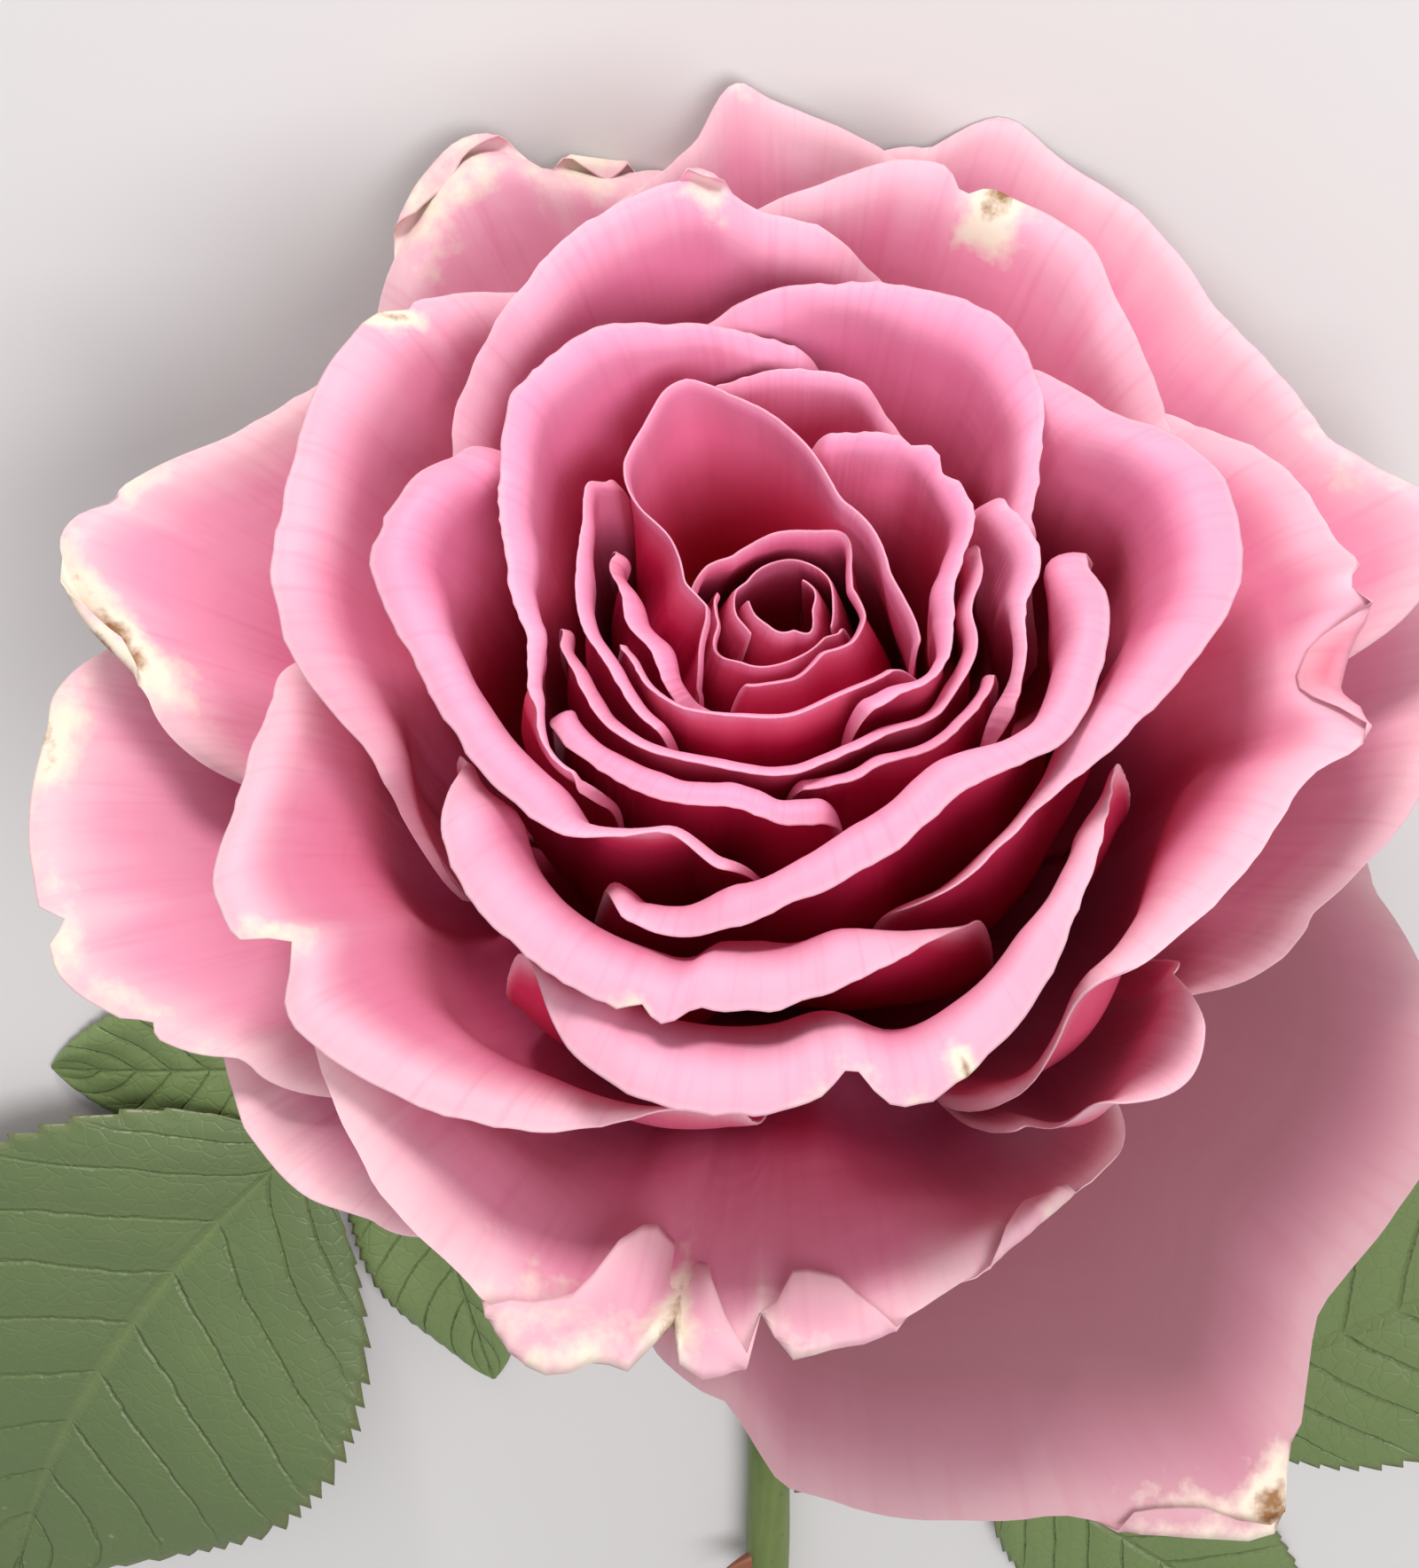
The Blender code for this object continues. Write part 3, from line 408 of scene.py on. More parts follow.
def ripple(x, y, seed):
    """Smooth waviness of about unit height over a grid, the same for the same seed."""
    draw = np.random.default_rng(seed)
    total = np.zeros(np.broadcast(x, y).shape)
    for _ in range(RIPPLE_WAVES):
        turn = draw.uniform(0, 2 * pi)
        phase = draw.uniform(0, 2 * pi)
        scale = draw.uniform(0.6, 1.7)
        total += np.sin(scale * (x * cos(turn) + y * sin(turn)) + phase)
    return total / RIPPLE_WAVES ** 0.5


def unit(vectors):
    return vectors / np.maximum(np.linalg.norm(vectors, axis=-1, keepdims=True), 1e-9)


def normals_of(points):
    """Unit normals of a grid of points."""
    return unit(np.cross(np.gradient(points, axis=0), np.gradient(points, axis=1)))


def shell(points, thickness):
    """Corners and faces of a closed skin around a grid of points, outer face first."""
    columns, rows = points.shape[:2]
    offset = normals_of(points) * np.asarray(thickness)[..., None] / 2
    corners = np.stack((points + offset, points - offset)).reshape(-1, 3)
    index = np.arange(columns * rows).reshape(columns, rows)
    a, b, c, d = index[:-1, :-1], index[1:, :-1], index[1:, 1:], index[:-1, 1:]
    count = columns * rows
    outer = np.stack((a, b, c, d), -1).reshape(-1, 4)
    inner = outer[:, (0, 3, 2, 1)] + count
    loop = np.concatenate((index[:-1, 0], index[-1, :-1], index[:0:-1, -1], index[0, :0:-1]))
    after = np.roll(loop, -1)
    rim = np.stack((loop, loop + count, after + count, after), -1)
    return corners, np.concatenate((outer, inner, rim))


def tube_shell(path, radii, sides=16, flat=1):
    """Corners and faces of a closed round tube along a path; flat squeezes it sideways."""
    path = np.asarray(path, float)
    step = unit(np.gradient(path, axis=0))
    side = np.cross(step[0], (0.31, 0.17, 0.93))
    rings = []
    turn = np.linspace(0, 2 * pi, sides, endpoint=False)
    for place, ahead, radius in zip(path, step, radii):
        side = unit(side - ahead * np.dot(side, ahead))
        other = np.cross(ahead, side)
        out = np.cos(turn)[:, None] * side + flat * np.sin(turn)[:, None] * other
        rings.append(place + radius * out)
    return ring_shell(np.array(rings))


def ring_shell(rings):
    """Corners and faces of rings of corners joined into a tube, with a corner closing each end."""
    count, sides = rings.shape[:2]
    corners = np.concatenate((rings.reshape(-1, 3), [rings[0].mean(0)], [rings[-1].mean(0)]))
    index = np.arange(count * sides).reshape(count, sides)
    beside = np.roll(index, -1, axis=1)
    faces = np.stack((index[:-1], beside[:-1], beside[1:], index[1:]), -1).reshape(-1, 4).tolist()
    first, last = count * sides, count * sides + 1
    faces += [(first, b, a) for a, b in zip(index[0], beside[0])]
    faces += [(last, a, b) for a, b in zip(index[-1], beside[-1])]
    return corners, faces


def along_columns(points):
    """How far every point is from the foot of its column, on the surface."""
    step = np.linalg.norm(np.diff(points, axis=1), axis=-1)
    return np.concatenate((np.zeros((len(points), 1)), np.cumsum(step, axis=1)), axis=1)


def smooth_path(path, count):
    """A path of many points through a few."""
    path = np.asarray(path, float)
    reach = along_columns(path[None])[0]
    where = np.linspace(0, reach[-1], count)
    return np.stack([through(where, reach, path[:, k]) for k in range(3)], axis=-1)


def make_piece(node, shells, marks, place, finish):
    """A visible piece from closed shells, with marks on its corners, in place of a CAD node."""
    name = "rose_" + node
    corners = np.concatenate([s[0] for s in shells])
    starts = np.cumsum([0] + [len(s[0]) for s in shells[:-1]])
    faces = [[int(k) + int(start) for k in face]
             for s, start in zip(shells, starts) for face in s[1]]
    mesh = bpy.data.meshes.new(name)
    mesh.from_pydata([tuple(c) for c in corners * MM], [], faces)
    for mark, values in marks.items():
        layer = mesh.attributes.new(mark, "FLOAT", "POINT")
        layer.data.foreach_set("value", np.ascontiguousarray(values, dtype=np.float32).ravel())
    mesh.transform(place)
    mesh.polygons.foreach_set("use_smooth", np.ones(len(mesh.polygons), dtype=bool))
    mesh.materials.append(finish)
    mesh.update()
    item = add_item(name, mesh)
    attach(item, "root")
    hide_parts(node)


def both_faces(points, **marks):
    """Marks of a grid for the outer face and then the inner one, and which of the two it is."""
    grid = points.shape[:2]
    doubled = {key: np.tile(np.broadcast_to(values, grid).ravel(), 2)
               for key, values in marks.items()}
    doubled["inside"] = np.repeat((0, 1), grid[0] * grid[1])
    return doubled


# ==== materials ====

NOISE = (0.3, 0.7)                # a noise lies between these nearly everywhere


class Paint:
    """A short way to write the nodes of one material."""

    def __init__(self, name):
        self.material = bpy.data.materials.new(name)
        self.material.use_nodes = True
        tree = self.material.node_tree
        self.nodes, self.links = tree.nodes, tree.links
        self.shader = self.nodes["Principled BSDF"]
        self.place = self.node("TexCoord", output="Object")

    def put(self, socket, value):
        if isinstance(value, bpy.types.NodeSocket):
            self.links.new(value, socket)
        else:
            socket.default_value = value

    def node(self, kind, inputs=(), output=0, **settings):
        made = self.nodes.new("ShaderNode" + kind)
        for key, value in settings.items():
            setattr(made, key, value)
        for key, value in dict(inputs).items():
            self.put(made.inputs[key], value)
        return made.outputs[output]

    def marks(self, *names):
        """The values that the pieces carry on their corners."""
        return [self.node("Attribute", output="Fac", attribute_name=name) for name in names]

    def math(self, operation, a, b=0):
        return self.node("Math", {0: a, 1: b}, operation=operation)

    def times(self, a, b):
        return self.math("MULTIPLY", a, b)

    def span(self, value, low, high, to_low=0, to_high=1):
        """Carry a value from one span to another, held at the ends."""
        return self.node("MapRange", {0: value, 1: low, 2: high, 3: to_low, 4: to_high}, clamp=True)

    def ramp(self, value, *stops):
        """Colours by value; every stop is a place and a colour, in order."""
        made = self.nodes.new("ShaderNodeValToRGB")
        made.color_ramp.interpolation = "EASE"
        elements = made.color_ramp.elements
        for k, (place, colour) in enumerate((stops[0], stops[-1], *stops[1:-1])):
            stop = elements[k] if k < 2 else elements.new(place)
            stop.position = place
            stop.color = (*colour, 1)
        self.links.new(value, made.inputs[0])
        return made.outputs[0]

    def layers(self, colour, *coats):
        """Coats over a colour, each the share and the colour of the coat."""
        for share, coat in coats:
            made = self.nodes.new("ShaderNodeMix")
            made.data_type = "RGBA"
            for key, value in ((0, share), (6, colour), (7, coat)):
                self.put(made.inputs[key], (*value, 1) if isinstance(value, tuple) else value)
            colour = made.outputs[2]
        return colour

    def vary(self, value, noise, most):
        """Raise and lower a value with a noise."""
        return self.math("ADD", value, self.span(noise, *NOISE, -most, most))

    def grain(self, scale, detail=3, roughness=0.5, where=None):
        return self.node("TexNoise", {"Vector": where or self.place, "Scale": scale,
                                      "Detail": detail, "Roughness": roughness})

    def strokes(self, values, scales, detail=3):
        """Noise drawn out by a scale for each of the values."""
        where = {k: self.times(*pair) for k, pair in enumerate(zip(values, scales))}
        return self.grain(1, detail, where=self.node("CombineXYZ", where))

    def bump(self, *layers):
        """Layers of relief, each a height, its strength and its depth in millimetres."""
        normal = None
        for height, strength, depth in layers:
            inputs = {"Height": height, "Strength": strength, "Distance": depth * MM}
            if normal is not None:
                inputs["Normal"] = normal
            normal = self.node("Bump", inputs)
        return normal

    def finish(self, colour, roughness, **rest):
        looks = {"Base Color": colour, "Roughness": roughness, **rest}
        for key, value in looks.items():
            self.put(self.shader.inputs[key.replace("_", " ")], value)
        return self.material


# Petal colours.  The ramps run from the claw to the rim.
YOUNG_PETAL = ((0.4, (0.62, 0.001, 0.03)), (0.7, (0.72, 0.02, 0.12)),
               (0.88, (0.75, 0.09, 0.26)), (1, (0.78, 0.215, 0.41)))
OLD_PETAL = ((0.2, (0.66, 0.03, 0.14)), (0.5, (0.74, 0.12, 0.3)),
             (0.82, (0.78, 0.28, 0.42)), (1, (0.81, 0.43, 0.53)))
CLOUDED = (0.82, 0.48, 0.54)
PALE_BACK = (0.8, 0.41, 0.53)
# painted shade: deep crimson on petal backs
PAINTED_SHADE_BACK = (0.62, 0.003, 0.075)  # backs that the next petal hides from the sun
# painted light: brightens inner faces that the lamps leave dark
PAINTED_LIGHT_FACE = (0.87, 0.25, 0.44)
YOUNG_MARGIN = (0.8, 0.4, 0.54)
OLD_MARGIN = (0.84, 0.62, 0.58)
RIM_LINE = (0.86, 0.59, 0.64)
VEIN = (0.62, 0.07, 0.17)
# painted shade mixed with the duller colour of old petals
OLD_DULL_AND_SHADE = (0.34, 0.15, 0.17)
WORN = (0.8, 0.69, 0.56)
BURNT = (0.3, 0.15, 0.06)


def petal_material():
    """Crimson at the claw and in the heart, pale at the rim and with age, browned where worn."""
    paint = Paint("rose_petal")
    span, times = paint.span, paint.times
    along, edge, across, age, inside, tint, stain, dusk = paint.marks(
        "along", "edge", "across", "age", "inside", "tint", "stain", "dusk")
    cloud = paint.grain(45, 2)
    blotch = paint.grain(330, 4, 0.6)
    drawn = (across, along, tint)
    streaks = paint.strokes(drawn, (14, 1.6, 9), 2)
    veins = paint.strokes(drawn, (60, 5, 5), 1)
    crepe = paint.strokes(drawn, (7, 22, 7), 2)
    outside = paint.math("SUBTRACT", 1, inside)

    where = times(along, span(age, 0, 0.35, 0.86, 1))
    where = paint.vary(paint.vary(where, streaks, 0.03), cloud, 0.035)
    aged = span(age, 0.3, 0.9)
    pale = times(outside, span(along, 0.45, 0.95, 0, 0.42))
    pale = times(pale, span(age, 0.05, 0.55, 0.35, 1))
    # painted shade: petal backs turn deep crimson away from the rim, where the next petal shades
    # them
    deeper = times(edge, span(age, 0.08, 0.35, 2.2, 1))
    painted_back_shade = times(outside, span(deeper, 1.2, 4.5))
    painted_back_shade = times(painted_back_shade, span(age, 0.62, 0.88, 0.88, 0.1))
    # painted light on the inner faces of young and middle petals, away from the rim
    painted_glow = times(inside, span(edge, 24, 9, 0, 0.85))
    painted_glow = times(painted_glow, span(age, 0.35, 0.65, 1, 0))
    painted_glow = times(painted_glow, span(age, 0.09, 0.115, 0.15, 1))
    margin = times(span(edge, 0, 7, 0.45, 0), span(age, 0, 0.35, 0.45, 1))
    worn = paint.vary(stain, blotch, 0.3)
    burnt = paint.vary(stain, blotch, 0.35)
    colour = paint.layers(
        paint.ramp(where, *YOUNG_PETAL), (aged, paint.ramp(where, *OLD_PETAL)),
        (span(cloud, 0.25, 0.75, 0, 0.12), CLOUDED),
        (pale, PALE_BACK), (painted_back_shade, PAINTED_SHADE_BACK), (painted_glow, PAINTED_LIGHT_FACE),
        (margin, paint.layers(YOUNG_MARGIN, (aged, OLD_MARGIN))),
        (span(edge, 0, 0.8, 0.32, 0), RIM_LINE),
        (span(veins, 0.52, 0.8, 0, 0.16), VEIN),
        # painted shade and duller old colour, weaker at the rim
        (times(dusk, span(along, 0.78, 0.99, 1, 0.5)), OLD_DULL_AND_SHADE),
        (span(worn, 0.3, 0.85), WORN), (span(burnt, 1.05, 1.45), BURNT))
    relief = paint.bump((streaks, 0.3, 0.8), (crepe, 0.16, 0.5))
    return paint.finish(colour, span(cloud, *NOISE, 0.46, 0.6), Normal=relief,
                        Specular_IOR_Level=0.25)


LEAF_TEETH = 25
TOOTH_DEPTH = 0.06                # share of the half width
QUILTING = 0.3                    # how far a leaflet swells between its veins (mm)
BLADE_WAVES = 0.8                 # height of the waves at its margin (mm)
MIDRIB_GROOVE = 0.35              # (mm)
LEAF_VEINS = 9                    # side veins on each side of a leaflet
VEIN_SWEEP = 0.22                 # how far they run toward the tip


def leaf_material():
    """Dark green with pale veins, a fine net between them, reddish teeth and a paler back."""
    paint = Paint("rose_leaf")
    span, times = paint.span, paint.times
    across, along, inside, tint = paint.marks("across", "along", "inside", "tint")
    side = paint.math("ABSOLUTE", across)
    cloud = paint.grain(60, 5, 0.6)
    start = paint.math("SUBTRACT", along, times(side, VEIN_SWEEP))
    start = paint.vary(start, cloud, 0.012)
    phase = paint.math("FRACT", times(start, LEAF_VEINS))
    off = paint.math("ABSOLUTE", paint.math("SUBTRACT", phase, 0.5))
    side_vein = times(span(off, 0, 0.055, 1, 0), span(side, 0.75, 1, 1, 0))
    midrib = span(side, 0, 0.045, 1, 0)
    vein = paint.math("MAXIMUM", side_vein, midrib)
    cells = paint.node("TexVoronoi", {"Vector": paint.place, "Scale": 520},
                       feature="DISTANCE_TO_EDGE")
    net = span(cells, 0, 0.09, 1, 0)
    green = paint.layers(
        paint.ramp(cloud, (0.28, (0.018, 0.036, 0.003)), (0.52, (0.042, 0.068, 0.006)),
                   (0.75, (0.08, 0.11, 0.012))),
        (span(tint, 0, 1), (0.19, 0.27, 0.06)),
        (times(net, 0.22), (0.1, 0.15, 0.02)),
        (times(vein, 0.55), (0.2, 0.25, 0.06)),
        (span(side, 0.93, 1, 0, 0.7), (0.13, 0.045, 0.02)))
    specks = paint.node("TexVoronoi", {"Vector": paint.place, "Scale": 210})
    dust = times(span(specks, 0, 0.1, 1, 0), span(cloud, 0.52, 0.6))
    colour = paint.layers(green, (inside, paint.layers(green, (0.6, (0.2, 0.28, 0.12)))),
                          (times(dust, 0.45), (0.55, 0.6, 0.5)))
    relief = paint.bump((vein, 0.7, -0.5), (net, 0.3, -0.16), (cloud, 0.35, 0.8),
                        (paint.grain(700), 0.12, 0.1))
    return paint.finish(colour, span(cloud, *NOISE, 0.34, 0.52), Normal=relief,
                        Specular_IOR_Level=0.4, Coat_Weight=0.06, Coat_Roughness=0.3)


def stem_material():
    """Green with brown patches, long fibres and dots, and reddish prickles."""
    paint = Paint("rose_stem")
    span = paint.span
    thorn, = paint.marks("thorn")
    stretched = paint.node("Mapping", {"Vector": paint.place, "Scale": (1, 0.12, 1)})
    cloud = paint.grain(40, 4, 0.6)
    fibre = paint.grain(900, where=stretched)
    dots = paint.node("TexVoronoi", {"Vector": paint.place, "Scale": 420})
    colour = paint.layers(
        paint.ramp(cloud, (0.3, (0.1, 0.15, 0.035)), (0.52, (0.15, 0.21, 0.055)),
                   (0.72, (0.17, 0.12, 0.045))),
        (span(fibre, 0.35, 0.7, 0, 0.35), (0.24, 0.3, 0.1)),
        (span(dots, 0, 0.16, 0.5, 0), (0.1, 0.05, 0.02)),
        (thorn, paint.ramp(cloud, (0.3, (0.24, 0.06, 0.03)), (0.7, (0.42, 0.17, 0.08)))))
    relief = paint.bump((fibre, 0.35, 0.3), (dots, 0.25, -0.15))
    return paint.finish(colour, span(cloud, *NOISE, 0.38, 0.55), Normal=relief,
                        Specular_IOR_Level=0.45)


def sepal_material():
    """Green with pale lines and a pale margin, reddish at the tip."""
    paint = Paint("rose_sepal")
    span = paint.span
    along, across = paint.marks("along", "across")
    cloud = paint.grain(80, 4, 0.6)
    lines = paint.strokes((across, along), (14, 1.5))
    margin = span(paint.math("ABSOLUTE", across), 0.8, 1, 0, 0.8)
    green = paint.layers(
        paint.ramp(cloud, (0.3, (0.07, 0.14, 0.03)), (0.7, (0.17, 0.26, 0.07))),
        (span(lines, 0.45, 0.65, 0, 0.5), (0.26, 0.34, 0.14)),
        (margin, (0.45, 0.48, 0.32)),
        (span(along, 0.75, 1, 0, 0.5), (0.24, 0.1, 0.05)))
    relief = paint.bump((lines, 0.5, 0.3), (paint.grain(900, 2), 0.25, 0.12))
    return paint.finish(green, 0.6, Normal=relief, Sheen_Weight=0.15)


def stamen_material():
    paint = Paint("rose_stamen")
    cloud = paint.grain(400, 4, 0.6)
    colour = paint.ramp(cloud, (0.3, (0.4, 0.2, 0.04)), (0.7, (0.8, 0.52, 0.13)))
    return paint.finish(colour, 0.75, Normal=paint.bump((cloud, 0.5, 0.2)))


def floor_material():
    paint = Paint("pale_floor")
    cloud = paint.grain(6)
    colour = paint.ramp(cloud, (0.2, (0.74, 0.73, 0.71)), (0.8, (0.78, 0.77, 0.75)))
    return paint.finish(colour, 0.75)


# ==== petals ====

FINE_COLUMNS = 1.7                # columns of the visible petal for each one of its solid's grid
FINE_ROWS = 42
FRAYING = 0.22                    # how far every rim is worn away, about (mm)
RIM_REACH = 16                    # how far in from the rim a petal is wavy (mm)
# waves on a petal: how many round the bloom, millimetres a radian along the petal, seed, height
# on the youngest petal (mm) and how much higher on the oldest
RIM_WAVES = ((9, 9, 0, 0.1, 0.3), (26, 7, 100, 0.03, 0.09))
BLADE_WAVE = (5, 14, 200, 0.05, 0.2)
FLAP_BEND = 0.75                  # radius of a fold (mm)
FLAP_CRUMPLE = 0.45               # height of the creases in a folded part (mm)
FLAP_ROWS = 16
FLAP_MARGIN = 1.5                 # folded parts are paled like the rim, from this far in (mm)
FLAP_SEED = 300
TINT_SEED = 50
# how much duller some old petals are: partly their own duller colour, partly painted shade
DULL_AND_SHADE_AMOUNT = {"guard_petal_6": 0.9, "guard_petal_4": 0.1, "guard_petal_3": 0.14, "outer_petal_9": 0.24}

# browned places: bearing, millimetres in from the rim, reach round and in (mm), strength
STAINS = {
    "outer_petal_3": ((65, 3.5, 3, 2.4, 1.25),),
    "outer_petal_2": ((139, 1, 2, 1.8, 1.3),),
    "outer_petal_1": ((277, 0, 9, 3.5, 0.45), (289, 1.5, 1, 1.2, 1.2)),
    "middle_petal_8": ((100, 1, 3, 2.5, 0.55),),
    "middle_petal_9": ((251, 0, 3, 1.4, 0.6),),
    "guard_petal_1": ((122, 1.5, 8, 4.5, 0.8), (108, 1.5, 4, 3, 0.85)),
    "guard_petal_2": ((160, 1, 3.5, 1.6, 0.75), (171, 0.5, 5, 2.4, 1), (177, 1, 5, 4, 0.95)),
    "guard_petal_4": ((181, 1, 6, 3.4, 1), (200, 1, 14, 3, 0.5)),
    "guard_petal_3": ((254, 0, 10, 8, 0.72), (261, 1, 1.8, 7, 0.85), (271, 0, 4, 4, 0.6),
                      (296, 0, 4, 4, 0.45)),
    "guard_petal_6": ((303.5, 0.5, 3, 3.5, 1.4), (298, 1, 6, 3, 0.8)),
    "outer_petal_4": ((357, 1.5, 9, 6, 0.75),),
    "outer_petal_8": ((20, 0, 9, 4, 0.5),),
    "outer_petal_6": ((211, 1, 3.5, 3, 0.7),),
    "outer_petal_7": ((93, 1, 2.2, 1.6, 0.45),),
}

# rims that are folded back over their petal: turn (degrees), then bearing and length (mm)
FLAPS = {
    "guard_petal_3": (205, ((245, 0), (248, 5), (251, 9), (253, 10), (256, 14.5), (258, 16),
        (261, 13), (263.5, 11), (266, 4), (267.5, 0), (268.5, 0), (270, 10), (272, 9.5), (275, 8),
        (278, 3.5), (280, 0), (286, 0), (290, 3), (294, 5), (297, 4), (300, 0))),
    "outer_petal_4": (215, ((-13, 0), (-10, 3.5), (-6, 6.5), (-2, 5.5), (1, 3), (3, 0))),
    "guard_petal_6": (200, ((292, 0), (295, 4), (299, 5), (302, 3), (304, 0))),
    "guard_petal_1": (230, ((104, 2), (107, 4.5), (110, 3), (112, 0), (113, 0), (117, 3.5),
        (121, 4.5), (125, 3.5), (129, 0))),
    "guard_petal_2": (190, ((169, 0), (172, 3), (175, 4), (178, 2), (180, 0))),
    "middle_petal_8": (220, ((96, 0), (99, 2.5), (101, 2.8), (103, 0))),
}

# places where a rim is torn or nicked: bearing, half width (mm), depth (mm)
NICKS = {
    "guard_petal_3": ((260.5, 2.2, 5.5), (268.2, 1.6, 5)),
    "outer_petal_4": ((350, 1.6, 2), (4, 2.2, 2.5)),
    "outer_petal_6": ((212, 2, 2.6),),
    "outer_petal_1": ((277, 2.2, 2.4),),
    "outer_petal_2": ((137, 1.6, 1.4),),
    "outer_petal_3": ((69, 1.8, 2),),
    "middle_petal_5": ((171, 1.5, 0.9),),
    "middle_petal_9": ((252, 1.6, 1.3),),
    "inner_petal_4": ((38, 1.4, 0.9), (50, 1.2, 0.8)),
    "guard_petal_2": ((163, 2, 1.6),),
    "guard_petal_4": ((197, 1.8, 2.2), (207, 1.5, 1.8)),
    "guard_petal_6": ((306, 2, 2.4),),
    "guard_petal_1": ((112, 2, 2),),
}

# a corner that reaches past its solid: bearing and how far (mm)
CORNERS = {"guard_petal_6": ((265, 1), (268, 4), (270, 6), (273, 5.5), (278, 4.5), (284, 2.5),
                             (290, 0))}


def refine(field, count):
    """More columns through the ones given, on a smooth curve."""
    x = np.linspace(0, len(field) - 1, count)
    i = np.minimum(x.astype(int), len(field) - 2)
    t = (x - i)[:, None]
    a, b, c, d = (field[np.clip(i + k, 0, len(field) - 1)] for k in (-1, 0, 1, 2))
    return b + t / 2 * (c - a + t * (2 * a - 5 * b + 4 * c - d + t * (3 * (b - c) + d - a)))


def nick(name, points, bearing):
    """Shorten the columns where the rim is nicked, and lay the rows closer near the rim."""
    walked = along_columns(points)
    radius = np.hypot(points[:, -1, 0], points[:, -1, 1])
    frayed = np.abs(ripple(np.radians(bearing) * 40, 0, len(name) + int(radius[0] * 7)))
    cut = FRAYING * frayed * ease(radius / 40)
    for centre, wide, deep in NICKS.get(name, ()):
        off = np.abs(np.radians(bearing - centre)) * radius / wide
        cut = np.maximum(cut, deep * np.maximum(1 - off, 0) ** 0.8)
    share = 1 - (1 - np.linspace(0, 1, FINE_ROWS + 1)) ** 1.5
    return np.array([
        np.stack([np.interp(share * (way[-1] - short), way, axis) for axis in column.T], axis=-1)
        for way, column, short in zip(walked, points, cut)])


def rim_direction(points):
    """Which way every column runs at the rim."""
    return unit(points[:, -1] - points[:, -3])


def reach_out(points, bearing, corner):
    """Longer columns at a corner of the rim."""
    further = np.interp(bearing, *zip(*corner))
    walked = along_columns(points)
    share = (walked / walked[:, -1:]) ** 4
    return points + (further[:, None] * share)[..., None] * rim_direction(points)[:, None]


def above_table(points):
    """Points of the bloom, in mm of its own frame, with none of them under the table."""
    turn = np.array(BLOOM.to_3x3())
    origin = np.array(BLOOM.translation) / MM
    placed = points @ turn.T + origin
    placed[..., 2] = np.maximum(placed[..., 2], cad_box[0][2] / MM + FINE_THICKNESS)
    return (placed - origin) @ turn


def fold_back(points, bearing, angle, reach, seed):
    """Carry every column on past the rim, bent over toward the heart."""
    length = np.interp(bearing, *zip(*reach), left=0, right=0)
    tip = points[:, -1]
    ahead = rim_direction(points)
    inward = -normals_of(points)[:, -2]
    inward = unit(inward - ahead * np.sum(inward * ahead, axis=1, keepdims=True))
    step = np.maximum(length, 0.05)[:, None] * np.linspace(0, 1, FLAP_ROWS + 1)[1:]
    crumple = ripple(np.arange(len(points))[:, None] * 0.45, step * 0.5, seed) * ease(step / 4)
    turn = np.minimum(step / FLAP_BEND, radians(angle) + 0.1 * crumple)
    beyond = step - FLAP_BEND * turn
    forward = FLAP_BEND * np.sin(turn) + beyond * np.cos(turn)
    rise = FLAP_BEND * (1 - np.cos(turn)) + beyond * np.sin(turn) + FLAP_CRUMPLE * crumple
    flap = tip[:, None] + ahead[:, None] * forward[..., None] + inward[:, None] * rise[..., None]
    return np.concatenate((points, flap), axis=1)


def wave_over(around, length, number, age, wave):
    """Waviness of one petal by its bearings and lengths."""
    turns, span, seed, young, older = wave
    height = young + older * age
    return ripple(np.radians(around) * turns, length / span, number + seed) * height


def stain_of(name, points, bearing, inward):
    """How browned a petal is at every point, by how far it is in from the rim."""
    stain = np.zeros_like(inward)
    radius = np.hypot(points[..., 0], points[..., 1])
    for centre, start, wide, deep, strength in STAINS.get(name, ()):
        turn = np.radians(bearing - centre)[:, None] * radius
        off = np.maximum(inward - start, 0) / deep
        stain += strength * np.exp(-(turn / wide) ** 2 - off ** 2)
    return stain


